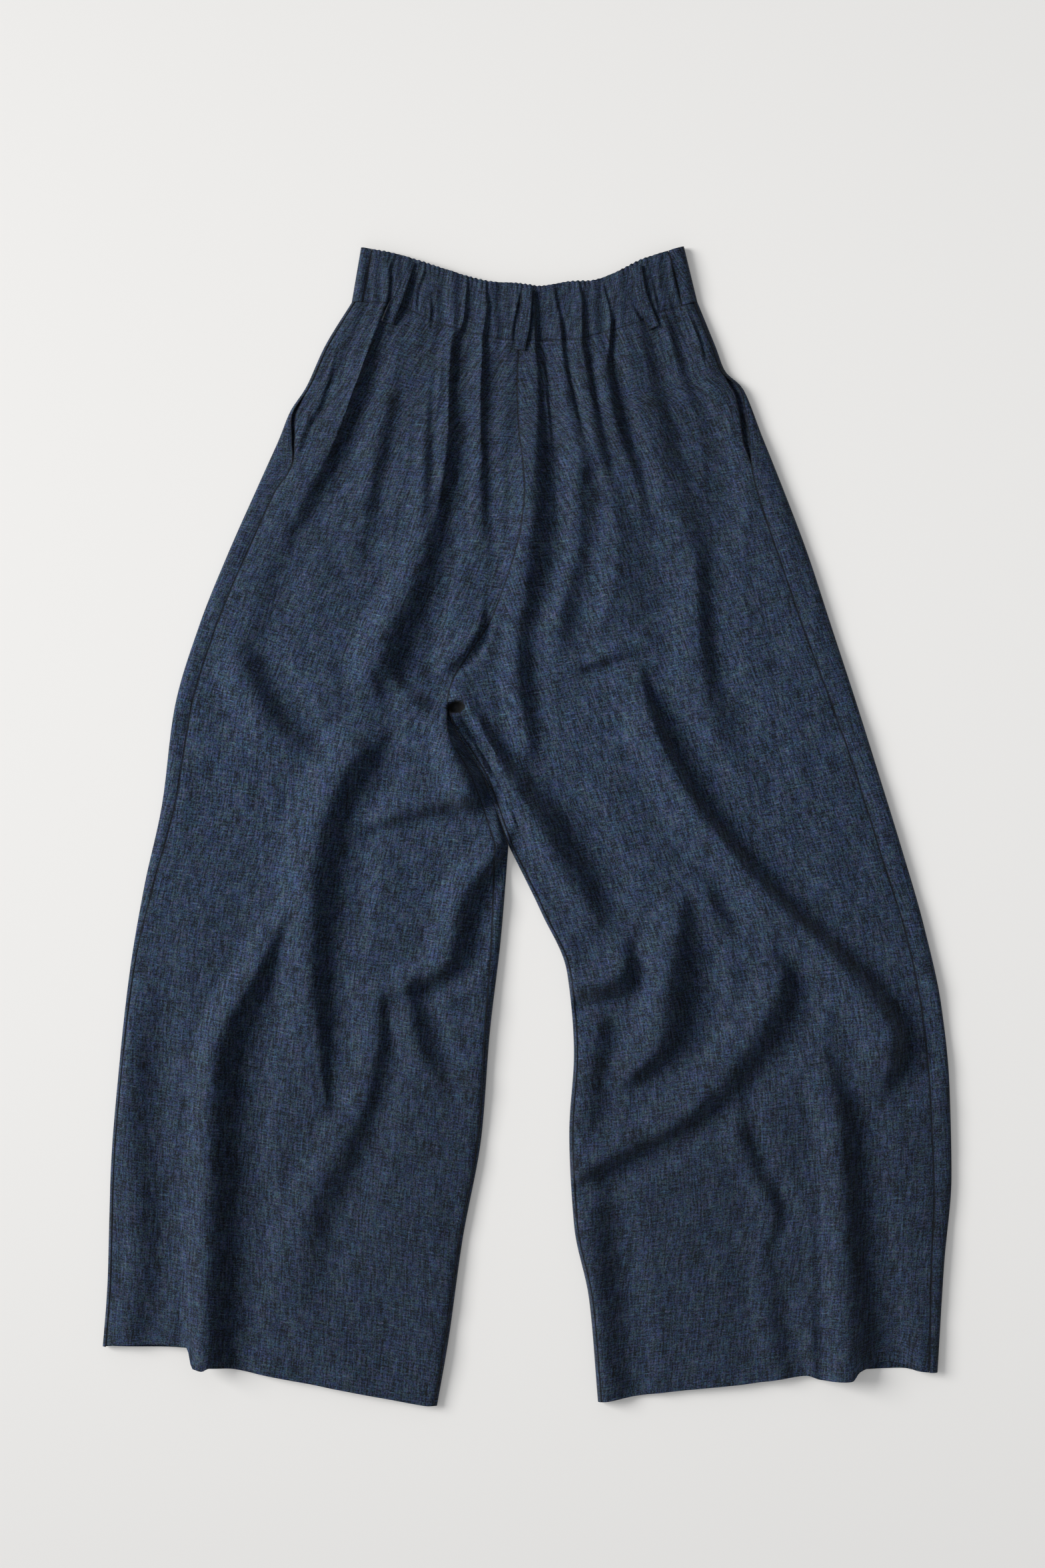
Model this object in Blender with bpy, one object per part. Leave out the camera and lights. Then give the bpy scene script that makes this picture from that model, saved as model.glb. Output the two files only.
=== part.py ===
"""Wide-leg pull-on trousers of slubby linen, laid flat on their front.

Sizes are in millimetres and become metres when the meshes are made. The back
panels lie on top, crumpled, and the front panels lie flat on the surface and
turn up round the sides. X runs across the trousers, Y from hem to waist.
"""
import bpy
import bmesh
import math
import numpy as np

for item in list(bpy.data.objects):
    bpy.data.objects.remove(item, do_unlink=True)

MM = 0.001

# Cloth and seams
CLOTH = 1.2
SEAM_GAP = 0.3
LEG_CLEARANCE = 0.25

# The rounded turn at the side of a leg or of the band
TURN_REACH = 7.0
TURN_MIDDLE = 3.5

# Heights of the upper layer above the surface it lies on
BASE_HEIGHT = 9.0
LOWEST_HEIGHT = 3.6
CLAMP_SOFTNESS = 1.6

# Elastic waistband
BAND_LEFT_TOP = -149.4
BAND_RIGHT_TOP = 141.0
BAND_LEFT_SEAM = 10.0
BAND_RIGHT_SEAM = 14.0
FRONT_BAND_DIP = 0.06
FRONT_BAND_DIP_STARTS = 0.05
FRONT_BAND_DIP_FULL = 0.14

# Gathers under the elastic: how many in each half, their height, how far they
# reach below the seam, how far down they spread to double width, how uneven
# their spacing and height are, and where they end near the side seams
GATHERS_PER_HALF = 12.5
GATHER_HEIGHT = 2.1
GATHER_REACH = 85.0
GATHER_SPREAD = 330.0
GATHER_DRIFT = 0.30
GATHER_DRIFT_RATE = 9.0
GATHER_DRIFT_START = 0.7
GATHER_MEAN = 0.68
GATHER_SWELL = 0.32
GATHER_SWELL_RATE = 14.0
GATHER_SWELL_START = 1.1
GATHER_SIDE_END = 0.86

# Belt loops
LOOP_WIDTH = 10.0
LOOP_CLEARANCE = 0.2
LOOP_ARCH = 1.0
LOOP_BRIDGING = 0.6
LOOP_REACH_ACROSS = 2.2
LOOP_REACH_ALONG = 4.0

# Pocket facings: how far they reach under each side of the mouth, how near the
# side of the leg they come, their wall and room, and the table rows they span
FACING_UNDER_FRONT = 5.0
FACING_UNDER_BACK = 9.0
FACING_FROM_SIDE = 2.6
FACING_WALL = 1.0
FACING_CLEARANCE = 0.3
LEFT_POCKET_ROWS = (2.6, 4.9)
RIGHT_POCKET_ROWS = (2.4, 4.9)

# Grid counts: lines along a panel for each table row, and columns across it
ROWS_PER_SECTION = 2
BACK_COLUMNS = 34
FLOOR_COLUMNS = 5
LIP_COLUMNS = 3
TURN_COLUMNS = 2
INNER_COLUMNS = 4
BAND_COLUMNS = 84
BAND_ROWS = 5
FACING_COLUMNS = 4
FACING_LINES = 9
LOOP_COLUMNS = 4
LOOP_LINES = 9
LOOP_PROBES = 5

# Steps for measuring slopes: across, in table rows, in shares of the band
SLOPE_STEP = 0.4
SLOPE_NEAREST = 0.02
SLOPE_ROWS = 0.02
SLOPE_SHARE = 0.0015
SHARP_ANGLE = math.radians(50.0)

# Waist seam from the left side to the right side: x, y
WAIST_SEAM = (
    (-157.8, 471.0),
    (-129.6, 470.4),
    (-73.2, 450.0),
    (-36.6, 440.4),
    (-7.2, 436.6),
    (21.6, 436.8),
    (42.6, 437.4),
    (61.8, 442.2),
    (98.4, 452.4),
    (119.4, 462.0),
    (153.0, 471.6),
)

# Upper edge of the band from the left side to the right side: x, y
BAND_TOP = (
    (-149.4, 520.4),
    (-114.6, 513.6),
    (-78.6, 502.2),
    (-51.6, 493.8),
    (-33.6, 489.6),
    (-6.6, 487.8),
    (11.4, 485.4),
    (38.4, 489.6),
    (56.4, 490.2),
    (74.4, 495.6),
    (101.4, 508.8),
    (119.4, 514.8),
    (141.0, 521.4),
)

# Outer edge of each leg from waist to hem: x, y, width of the front panel
# that shows on top, width of the gap between it and the back panel
LEFT_OUTER = (
    (-157.8, 471.0, 3.0, 0.3),
    (-181.8, 432.0, 3.0, 0.3),
    (-199.2, 394.2, 3.0, 0.3),
    (-213.0, 373.2, 3.2, 3.2),
    (-223.2, 348.0, 12.0, 2.6),
    (-234.0, 324.0, 22.0, 0.3),
    (-244.8, 300.0, 17.0, 0.3),
    (-268.8, 246.0, 16.0, 0.3),
    (-295.2, 180.0, 15.0, 0.3),
    (-317.4, 105.0, 15.0, 0.3),
    (-328.2, 21.0, 12.0, 0.3),
    (-344.4, -54.0, 8.0, 0.3),
    (-357.6, -132.0, 3.5, 0.3),
    (-367.2, -219.0, 3.0, 0.3),
    (-374.4, -309.0, 3.0, 0.3),
    (-377.4, -411.0, 3.0, 0.3),
    (-381.6, -466.8, 3.0, 0.3),
)
RIGHT_OUTER = (
    (153.0, 471.6, 3.0, 0.3),
    (169.2, 432.0, 3.0, 0.3),
    (178.2, 409.2, 3.0, 0.3),
    (193.2, 394.8, 3.2, 6.0),
    (211.2, 351.0, 12.0, 6.0),
    (221.4, 325.8, 20.0, 0.3),
    (231.6, 300.0, 24.0, 0.3),
    (252.0, 246.0, 26.0, 0.3),
    (273.6, 180.0, 25.0, 0.3),
    (295.2, 114.0, 22.0, 0.3),
    (315.0, 51.0, 20.0, 0.3),
    (337.2, -21.0, 20.0, 0.3),
    (357.0, -90.0, 18.0, 0.3),
    (372.6, -162.0, 18.0, 0.3),
    (379.8, -234.0, 18.0, 0.3),
    (381.6, -313.2, 16.5, 0.3),
    (375.0, -393.0, 12.0, 0.3),
    (369.0, -490.2, 8.0, 0.3),
)

# Seat seam, then the line where the two legs touch, down to the open gap: x, y
MIDDLE_LINE = (
    (-7.2, 436.6),
    (-9.0, 399.0),
    (-8.4, 373.2),
    (-7.2, 354.0),
    (-4.2, 330.0),
    (-2.4, 303.0),
    (-5.4, 270.0),
    (-29.4, 192.6),
    (-71.4, 112.8),
    (-37.2, 40.8),
    (-16.8, -16.8),
)
WAIST_SAG_ROWS = 5.0
CROTCH_ROW = 8
GAP_ROW = 10
CLOSING_ROWS = 0.6

# Inner edge of each leg from the open gap to the hem: x, y, and the width of
# the front panel that turns up to the inseam
LEFT_INNER = (
    (-16.8, -16.8, 12.0),
    (-23.4, -98.4, 8.5),
    (-33.6, -186.0, 4.5),
    (-40.8, -276.0, 3.0),
    (-58.2, -372.0, 3.0),
    (-70.8, -462.0, 3.0),
    (-81.0, -520.2, 3.0),
)
RIGHT_INNER = (
    (-16.8, -16.8, 3.0),
    (12.6, -76.8, 3.0),
    (36.0, -132.0, 3.0),
    (42.0, -204.0, 3.0),
    (37.8, -276.0, 3.0),
    (42.0, -357.0, 3.0),
    (55.8, -426.0, 3.0),
    (63.6, -516.6, 3.0),
)

# Hem lines against a straight line: share of the way in from the outer edge,
# rise of the front panel's hem, rise of the back panel's hem
LEFT_HEM = (
    (0.00, 0.0, 0.0),
    (0.06, 2.5, 5.0),
    (0.24, 11.0, 13.5),
    (0.29, -1.5, -3.0),
    (0.50, -2.0, -3.4),
    (0.96, -2.4, -3.4),
    (1.00, 0.0, 0.0),
)
RIGHT_HEM = (
    (0.00, 0.0, 0.0),
    (0.05, 3.0, 5.0),
    (0.14, 6.5, 11.0),
    (0.22, 7.0, 8.5),
    (0.28, 3.0, 2.0),
    (0.34, 4.5, 4.0),
    (0.40, 9.0, 8.0),
    (0.57, 6.0, 5.0),
    (0.81, 4.5, 3.6),
    (1.00, 0.0, 0.0),
)
HEM_FADE_ROWS = 0.7

# Folds of the upper layer: height of the crest, depth of the trough beside it, how
# far the crest and the trough fade out, and the path. Each point of a path has its
# place, half the way from crest to trough there, and the share of the full height.
# A path runs towards the hem with its crest on the wearer's left.
FOLDS = (
    # left hip, and the soft cross fold under it
    (4.5, 3.5, 24, 26, (
        (-117, 480, 2.6, 0.15), (-125, 462, 2.8, 0.4), (-138, 420, 3.6, 0.7), (-150, 384, 5, 0.9),
        (-165, 348, 7, 1.05), (-180, 317, 8, 1.0), (-198, 286, 9, 0.7), (-214, 255, 10, 0.45),
        (-232, 216, 11, 0.3), (-245, 174, 12, 0.3))),
    (3.6, 3, 30, 26, (
        (-248, 153, 8, 0.4), (-239, 129, 9, 0.8), (-226, 107, 10, 1.0), (-211, 87, 10, 0.9),
        (-194, 67, 9, 0.5))),
    (2.2, 2, 16, 16, (
        (-112, 417, 5, 0.3), (-122, 372, 7, 0.9), (-131, 330, 7, 1.0), (-139, 288, 8, 1.0),
        (-147, 246, 9, 0.5))),
    # seat, left of the seam
    (1.8, 1.8, 10, 8, (
        (-85, 402, 4, 0.4), (-88, 366, 4, 0.9), (-89, 330, 4.5, 1.0), (-90, 294, 5, 0.9),
        (-91, 264, 6, 0.3))),
    (5.5, 4, 26, 24, (
        (-55, 480, 3, 0.25), (-55, 456, 3, 0.5), (-64, 426, 4, 0.6), (-67, 390, 5, 0.7),
        (-67, 354, 6, 0.8), (-71, 315, 7.5, 0.9), (-77, 279, 9, 1.0), (-85, 243, 10, 1.0),
        (-96, 207, 13, 1.3), (-111, 177, 16, 1.6), (-122, 150, 18, 1.7), (-129, 126, 16, 1.1),
        (-128, 108, 12, 0.25))),
    (2.5, 2.5, 16, 18, (
        (-82, 99, 9, 0.4), (-103, 109, 11, 0.9), (-121, 117, 12, 0.5))),
    (2.6, 2.4, 12, 12, (
        (-38, 462, 3, 0.4), (-38, 426, 4, 0.8), (-39, 390, 4.5, 1.0), (-40, 354, 4.5, 0.9),
        (-39, 318, 5, 0.9), (-37, 282, 5.5, 0.7), (-32, 243, 7, 0.3))),
    (4, 2.5, 16, 6, (
        (-38, 199, 2.5, 0.5), (-40, 180, 4, 1.0), (-47, 163, 5.5, 1.0), (-58, 150, 5, 0.9),
        (-74, 139, 4, 0.3))),
    # seat, right of the seam
    (6, 5, 22, 20, (
        (3, 477, 3.5, 0.4), (7, 444, 4.5, 0.6), (12, 408, 5, 0.6), (13, 375, 5, 0.6),
        (14, 345, 7.5, 0.85), (16, 312, 11, 1.15), (17, 279, 13, 1.3), (13, 246, 13.5, 1.3),
        (8, 219, 11.5, 1.0), (3, 195, 9, 0.6))),
    (3.4, 3.4, 16, 18, (
        (-1, 180, 6, 0.6), (-2, 153, 7.5, 1.0), (-1, 126, 7, 1.0), (3, 99, 6, 0.8),
        (7, 69, 7, 0.6))),
    (2.6, 2.8, 18, 20, (
        (45, 288, 8, 0.5), (43, 252, 10, 1.0), (40, 216, 11, 1.0), (37, 174, 9, 0.6))),
    (2, 2, 14, 12, (
        (94, 155, 4, 0.5), (74, 149, 5, 1.0), (56, 143, 5, 1.0), (40, 139, 5, 0.4))),
    (2, 2, 8, 8, (
        (31, 444, 3.5, 0.8), (34, 414, 4, 1.0), (39, 384, 4, 0.9), (47, 351, 4.5, 0.5),
        (53, 324, 5, 0.2))),
    (2.4, 2.2, 10, 10, (
        (52, 456, 3.5, 1.0), (53, 426, 4, 1.0), (56, 390, 4, 0.8), (65, 354, 4.5, 0.7),
        (74, 315, 5, 0.4), (80, 282, 5, 0.2))),
    (3.2, 2.8, 14, 14, (
        (76, 450, 4, 0.9), (74, 417, 4.5, 0.9), (79, 381, 4.5, 0.9), (88, 348, 5, 1.0),
        (101, 312, 5.5, 0.7), (110, 276, 6, 0.3))),
    # right hip
    (5.6, 5, 34, 30, (
        (103, 450, 6, 0.4), (116, 408, 9, 0.6), (133, 360, 13, 0.8), (148, 315, 18, 1.0),
        (159, 270, 19, 1.05), (164, 228, 15, 0.95), (163, 192, 11, 0.9), (164, 156, 11, 0.85),
        (172, 114, 12, 0.6), (185, 72, 12, 0.25))),
    (2.8, 2.6, 16, 16, (
        (128, 456, 4, 0.5), (135, 426, 5, 0.8), (147, 390, 7, 0.8), (163, 348, 9, 0.5),
        (176, 300, 10, 0.2))),
    # right thigh, across to the outer knee
    (7.5, 4.5, 34, 32, (
        (106, 129, 5, 0.2), (116, 105, 6.5, 0.65), (133, 75, 7.5, 0.85), (154, 43, 7.5, 0.85),
        (184, 7, 7.5, 0.85), (215, -30, 8, 0.9), (248, -67, 8, 0.9), (283, -101, 9, 0.95),
        (311, -131, 11, 1.1), (329, -159, 13, 1.2), (337, -186, 13, 1.15), (332, -210, 12, 0.9),
        (319, -228, 9, 0.3))),
    # inner thighs below the crotch
    (8, 5.5, 20, 30, (
        (-34, 78, 5, 0.3), (-17, 57, 8, 0.7), (2, 35, 13, 1.05), (22, 11, 16, 1.2),
        (39, -18, 15, 1.05), (56, -48, 12, 0.75), (68, -75, 10, 0.4))),
    (3.4, 2.4, 26, 20, (
        (-41, 26, 5, 1.0), (-61, 19, 6, 1.0), (-85, 14, 6, 0.9), (-112, 7, 6, 0.85),
        (-139, -1, 6, 0.7))),
    (7, 6, 24, 12, (
        (-66, 93, 7, 0.5), (-60, 72, 11, 1.0), (-51, 51, 13, 1.1), (-43, 33, 10, 0.9))),
    # left thigh
    (9.5, 5, 36, 34, (
        (-131, 73, 5, 0.25), (-141, 61, 8, 0.6), (-154, 45, 11, 0.85), (-165, 21, 13, 0.95),
        (-173, -9, 17, 1.1), (-177, -42, 17, 1.1), (-180, -75, 15, 1.05), (-183, -108, 13.5, 0.95),
        (-184, -141, 12, 0.85), (-182, -174, 9, 0.7), (-181, -210, 6.5, 0.5),
        (-178, -246, 4, 0.2))),
    # left knee, calf, tube and outer side
    (8, 4.5, 24, 16, (
        (-17, -13, 4, 0.5), (-29, -35, 6, 0.8), (-44, -55, 9, 1.0), (-53, -79, 11, 1.1),
        (-57, -102, 12, 1.1), (-64, -123, 10, 1.0), (-82, -136, 8, 0.9), (-101, -144, 7, 0.7),
        (-115, -150, 6, 0.3))),
    (3.8, 3, 18, 16, (
        (-100, -149, 7, 0.6), (-98, -171, 8, 1.0), (-91, -195, 9, 0.8), (-77, -221, 9, 0.4))),
    (5, 3.5, 26, 26, (
        (-131, -153, 5, 0.5), (-131, -183, 6.5, 0.9), (-137, -216, 8, 1.0), (-145, -249, 9, 1.0),
        (-158, -282, 11, 1.0), (-173, -315, 13, 0.85), (-188, -348, 13, 0.5))),
    (11, 5, 24, 34, (
        (-220, -91, 5, 0.3), (-230, -117, 7, 0.6), (-243, -147, 9, 0.8), (-259, -174, 12, 0.9),
        (-269, -204, 14, 1.0), (-274, -240, 16, 1.0), (-276, -288, 17.5, 1.0),
        (-277, -342, 18, 1.0), (-278, -396, 18, 1.0), (-280, -444, 17, 1.0),
        (-281, -486, 16, 1.0))),
    (2.2, 2.6, 16, 20, (
        (-338, -156, 10, 0.4), (-341, -204, 14, 0.9), (-344, -264, 14, 1.0), (-341, -324, 14, 1.0),
        (-339, -384, 13, 1.0), (-347, -444, 12, 0.8), (-350, -470, 11, 0.6))),
    # right knee
    (8.5, 5, 30, 26, (
        (144, -75, 7, 0.4), (143, -99, 13, 0.85), (142, -126, 17, 1.1), (141, -153, 18, 1.2),
        (137, -180, 17, 1.15), (127, -200, 13, 1.0), (112, -214, 9, 0.8), (95, -227, 7, 0.4))),
    (3, 3, 16, 16, (
        (158, -39, 9, 0.4), (169, -60, 10, 0.9), (176, -84, 10, 0.6))),
    (6, 4.5, 18, 14, (
        (92, -113, 7, 0.4), (94, -131, 11, 1.0), (85, -145, 11, 1.0), (68, -150, 10, 1.0),
        (49, -152, 9, 1.0))),
    (2.4, 2.6, 18, 16, (
        (73, -165, 9, 0.6), (69, -198, 11, 1.0), (65, -234, 11, 0.8), (61, -270, 10, 0.4))),
    # right calf and tube
    (8, 4.5, 28, 26, (
        (224, -111, 8, 0.4), (235, -135, 12, 0.9), (235, -156, 14.5, 1.0), (223, -180, 15.5, 1.0),
        (203, -207, 15, 1.0), (183, -233, 12, 0.9), (158, -255, 9.5, 0.85), (131, -274, 8, 0.8),
        (101, -289, 8, 0.8), (68, -306, 8, 0.8), (50, -315, 8, 0.8))),
    (3.2, 3, 18, 16, (
        (193, -240, 6, 0.4), (195, -270, 8, 0.9), (205, -300, 8, 0.9), (220, -327, 8, 1.0),
        (226, -351, 7, 0.8), (218, -378, 7, 0.3))),
    (9, 5, 26, 30, (
        (272, -210, 7, 0.3), (283, -240, 11, 0.7), (290, -270, 13, 0.9), (293, -312, 14, 1.0),
        (296, -360, 15, 1.0), (299, -408, 17, 1.05), (303, -450, 19, 1.1), (305, -492, 20, 1.1))),
)
FOLD_LIFT = 1.38
NARROWEST_HALF = 5.0
FOLD_END_FADE = 22.0
PATH_STEPS = 5

# Belt loops: name, then x, y of the upper and lower end and of the middle
BELT_LOOPS = (
    ("belt_loop_left", (-105.6, 507.5), (-113.5, 482.0), (-124.8, 451.5)),
    ("belt_loop_center", (0.0, 482.5), (-2.0, 455.0), (-7.0, 427.5)),
    ("belt_loop_right", (97.5, 503.0), (101.5, 480.0), (113.5, 447.5)),
)

# Colours and surface values
LINEN_BACK = (0.0245, 0.0365, 0.0580, 1.0)
LINEN_FRONT = (0.0225, 0.0335, 0.0530, 1.0)
LINEN_BAND = (0.0290, 0.0430, 0.0680, 1.0)
LINEN_LOOP = (0.0300, 0.0440, 0.0700, 1.0)
LINEN_FACING = (0.0160, 0.0240, 0.0390, 1.0)
LINEN_ROUGHNESS = 0.9

collection = bpy.data.collections.new("wide_leg_trousers")
bpy.context.scene.collection.children.link(collection)


def column(table, index):
    """One named column of a table."""
    return np.array([row[index] for row in table], float)


def smooth_step(low, high, value):
    """0 below low, 1 above high and a soft change between."""
    share = np.clip((np.asarray(value, float) - low) / (high - low), 0.0, 1.0)
    return share * share * (3.0 - 2.0 * share)


def through(knots, values, at):
    """A smooth curve through a table's values that never overshoots them."""
    knots = np.asarray(knots, float)
    values = np.asarray(values, float)
    at = np.clip(np.asarray(at, float), knots[0], knots[-1])
    widths = np.diff(knots)
    slopes = np.diff(values) / widths
    tangents = np.zeros(len(knots))
    tangents[0] = slopes[0]
    tangents[-1] = slopes[-1]
    for k in range(1, len(knots) - 1):
        before, after = slopes[k - 1], slopes[k]
        if before * after > 0.0:
            weight_a = 2.0 * widths[k] + widths[k - 1]
            weight_b = widths[k] + 2.0 * widths[k - 1]
            tangents[k] = (weight_a + weight_b) / (weight_a / before + weight_b / after)
    part = np.clip(np.searchsorted(knots, at, side="right") - 1, 0, len(knots) - 2)
    width = widths[part]
    t = (at - knots[part]) / width
    rest = 1.0 - t
    start_share = (1.0 + 2.0 * t) * rest * rest
    end_share = t * t * (3.0 - 2.0 * t)
    return (
        start_share * values[part]
        + end_share * values[part + 1]
        + t * rest * rest * width * tangents[part]
        - t * t * rest * width * tangents[part + 1]
    )


def smooth_path(points):
    """A path through its points, finely divided, with its widths and strengths."""
    points = np.array(points, float)
    steps = np.arange(len(points), dtype=float)
    fine = np.linspace(0.0, len(points) - 1.0, PATH_STEPS * (len(points) - 1) + 1)
    return np.column_stack([through(steps, points[:, k], fine) for k in range(4)])


def nearest_on_path(path, x, y):
    """Signed distance to a path, place along it in steps and distance past an end."""
    starts = path[:-1, :2]
    spans = np.diff(path[:, :2], axis=0)
    lengths = np.hypot(spans[:, 0], spans[:, 1])
    best = np.full(x.shape, np.inf)
    signed = np.zeros(x.shape)
    step = np.zeros(x.shape)
    beyond = np.zeros(x.shape)
    last = len(starts) - 1
    for k in range(last + 1):
        direction = spans[k] / lengths[k]
        off_x = x - starts[k, 0]
        off_y = y - starts[k, 1]
        along = off_x * direction[0] + off_y * direction[1]
        across = -off_x * direction[1] + off_y * direction[0]
        kept = np.clip(along, 0.0, lengths[k])
        distance = np.hypot(along - kept, across)
        closer = distance < best - 1e-9
        past = np.zeros(x.shape)
        if k == 0:
            past = np.maximum(past, -along)
        if k == last:
            past = np.maximum(past, along - lengths[k])
        side = np.where(across >= 0.0, 1.0, -1.0)
        at_end = past > 0.0
        best = np.where(closer, distance, best)
        signed = np.where(closer, np.where(at_end, across, side * distance), signed)
        step = np.where(closer, k + kept / lengths[k], step)
        beyond = np.where(closer, past, beyond)
    return signed, step, beyond


def tail(ratio):
    """A soft bump that starts at 1 and reaches 0 where the ratio is 1."""
    rest = np.clip(1.0 - ratio * ratio, 0.0, 1.0)
    return rest * rest


def fold_height(fold, x, y):
    """Height that one fold adds at each place."""
    crest, trough, crest_fade, trough_fade, points = fold
    path = smooth_path(points)
    signed, step, beyond = nearest_on_path(path, x, y)
    half = np.maximum(np.interp(step, np.arange(len(path)), path[:, 2]), NARROWEST_HALF)
    strength = FOLD_LIFT * np.interp(step, np.arange(len(path)), path[:, 3])
    swing = 0.5 * (crest + trough)
    middle = 0.5 * (crest - trough)
    steep = middle + swing * np.cos(np.pi * np.clip((signed + half) / (2.0 * half), 0.0, 1.0))
    light_side = crest * tail(np.clip((-half - signed) / crest_fade, 0.0, 1.0))
    shade_side = -trough * tail(np.clip((signed - half) / trough_fade, 0.0, 1.0))
    shape = np.where(signed < -half, light_side, np.where(signed > half, shade_side, steep))
    return shape * strength * tail(np.clip(beyond / FOLD_END_FADE, 0.0, 1.0))


def waist_y(x):
    """Height up the page of the waist seam."""
    return through(column(WAIST_SEAM, 0), column(WAIST_SEAM, 1), x)


def gather_height(x, y):
    """Small waves that the elastic draws up, in the band and fading below it."""
    below = np.maximum(waist_y(x) - y, 0.0)
    spread = 1.0 + below / GATHER_SPREAD
    middle = MIDDLE_LINE[0][0]
    half_width = np.where(x < middle, middle - WAIST_SEAM[0][0], WAIST_SEAM[-1][0] - middle)
    share = (x - middle) / (half_width * spread)
    drift = GATHER_DRIFT * np.sin(GATHER_DRIFT_RATE * share + GATHER_DRIFT_START)
    turns = GATHERS_PER_HALF * share + drift
    strength = GATHER_MEAN + GATHER_SWELL * np.sin(GATHER_SWELL_RATE * share + GATHER_SWELL_START)
    fade = tail(np.clip(below / GATHER_REACH, 0.0, 1.0))
    edge = smooth_step(1.0, GATHER_SIDE_END, np.abs(share))
    return GATHER_HEIGHT * strength * fade * edge * np.cos(2.0 * np.pi * turns)


def upper_height(x, y):
    """Height of the upper layer's outer side anywhere on the trousers."""
    x = np.asarray(x, float)
    y = np.asarray(y, float)
    height = BASE_HEIGHT + gather_height(x, y)
    for fold in FOLDS:
        height = height + fold_height(fold, x, y)
    above = (height - LOWEST_HEIGHT) / CLAMP_SOFTNESS
    return LOWEST_HEIGHT + CLAMP_SOFTNESS * np.logaddexp(0.0, above)


def turn_share(distance):
    """How far the cloth has risen round the side turn, 0 at the side to 1."""
    rest = 1.0 - np.clip(distance / TURN_REACH, 0.0, 1.0)
    return np.sqrt(np.clip(1.0 - rest * rest, 0.0, 1.0))


class Leg:
    """One leg with its half of the seat, from the waist seam to the hem."""

    def __init__(self, outer, inner, hem):
        self.outer = outer
        self.inner = inner
        self.hem = hem
        self.last = len(outer) - 1

    def rows(self):
        """Places of the lines across the leg, in table rows."""
        return np.linspace(0.0, self.last, self.last * ROWS_PER_SECTION + 1)

    def side_values(self, row, index):
        return through(np.arange(len(self.outer)), column(self.outer, index), row)

    def inner_values(self, row, index):
        shared = through(np.arange(GAP_ROW + 1), column(MIDDLE_LINE, index), row)
        own = through(np.arange(GAP_ROW, self.last + 1), column(self.inner, index), row)
        return np.where(row <= GAP_ROW, shared, own)

    def lip_in(self, row):
        """Width of the front panel that turns up to the inseam."""
        return through(np.arange(GAP_ROW, self.last + 1), column(self.inner, 2), row)

    def closed(self, row):
        """0 above the crotch, where the halves are sewn, and 1 down the leg."""
        return smooth_step(CROTCH_ROW, CROTCH_ROW + CLOSING_ROWS, row)

    def frame(self, row):
        """Outer end, direction across and width of the line at a row."""
        row = np.asarray(row, float)
        outer = np.stack([self.side_values(row, 0), self.side_values(row, 1)], -1)
        inner = np.stack([self.inner_values(row, 0), self.inner_values(row, 1)], -1)
        across = inner - outer
        width = np.linalg.norm(across, axis=-1)
        across = across / width[..., None]
        return outer, across, width - LEG_CLEARANCE

    def plan(self, row, distance, hem_column):
        """Place on the page of a point so far in from the outer edge."""
        outer, across, width = self.frame(row)
        place = outer + across * distance[..., None]
        share = np.clip(distance / width, 0.0, 1.0)
        first, first_across, first_width = self.frame(np.zeros_like(row))
        waist_x = first[..., 0] + first_across[..., 0] * share * first_width
        straight = first[..., 1] + first_across[..., 1] * share * first_width
        sag = (waist_y(waist_x) - straight) * (1.0 - smooth_step(0.0, WAIST_SAG_ROWS, row))
        rise = through(column(self.hem, 0), column(self.hem, hem_column), share)
        rise = rise * smooth_step(self.last - HEM_FADE_ROWS, self.last, row)
        place[..., 1] += sag + rise
        return place

    def top(self, row, distance, hem_column=2):
        """A point of the upper layer's outer side."""
        _, _, width = self.frame(row)
        place = self.plan(row, distance, hem_column)
        height = upper_height(place[..., 0], place[..., 1])
        inner_turn = turn_share(width - distance)
        closed = self.closed(row)
        turn = turn_share(distance) * (1.0 - closed + closed * inner_turn)
        height = TURN_MIDDLE + (height - TURN_MIDDLE) * turn
        return np.concatenate([place, height[..., None]], -1)

    def top_normal(self, row, distance, hem_column=2):
        """Direction straight out of the upper layer."""
        near = np.maximum(distance - SLOPE_STEP, SLOPE_NEAREST)
        far = distance + SLOPE_STEP
        across = self.top(row, far, hem_column) - self.top(row, near, hem_column)
        down = np.minimum(row + SLOPE_ROWS, self.last)
        up = np.maximum(row - SLOPE_ROWS, 0.0)
        along = self.top(down, distance, hem_column) - self.top(up, distance, hem_column)
        return upward(np.cross(across, along))


def upward(vectors):
    """Unit vectors turned to the upper side."""
    vectors = np.where(vectors[..., 2:3] < 0.0, -vectors, vectors)
    return vectors / np.linalg.norm(vectors, axis=-1, keepdims=True)


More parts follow.
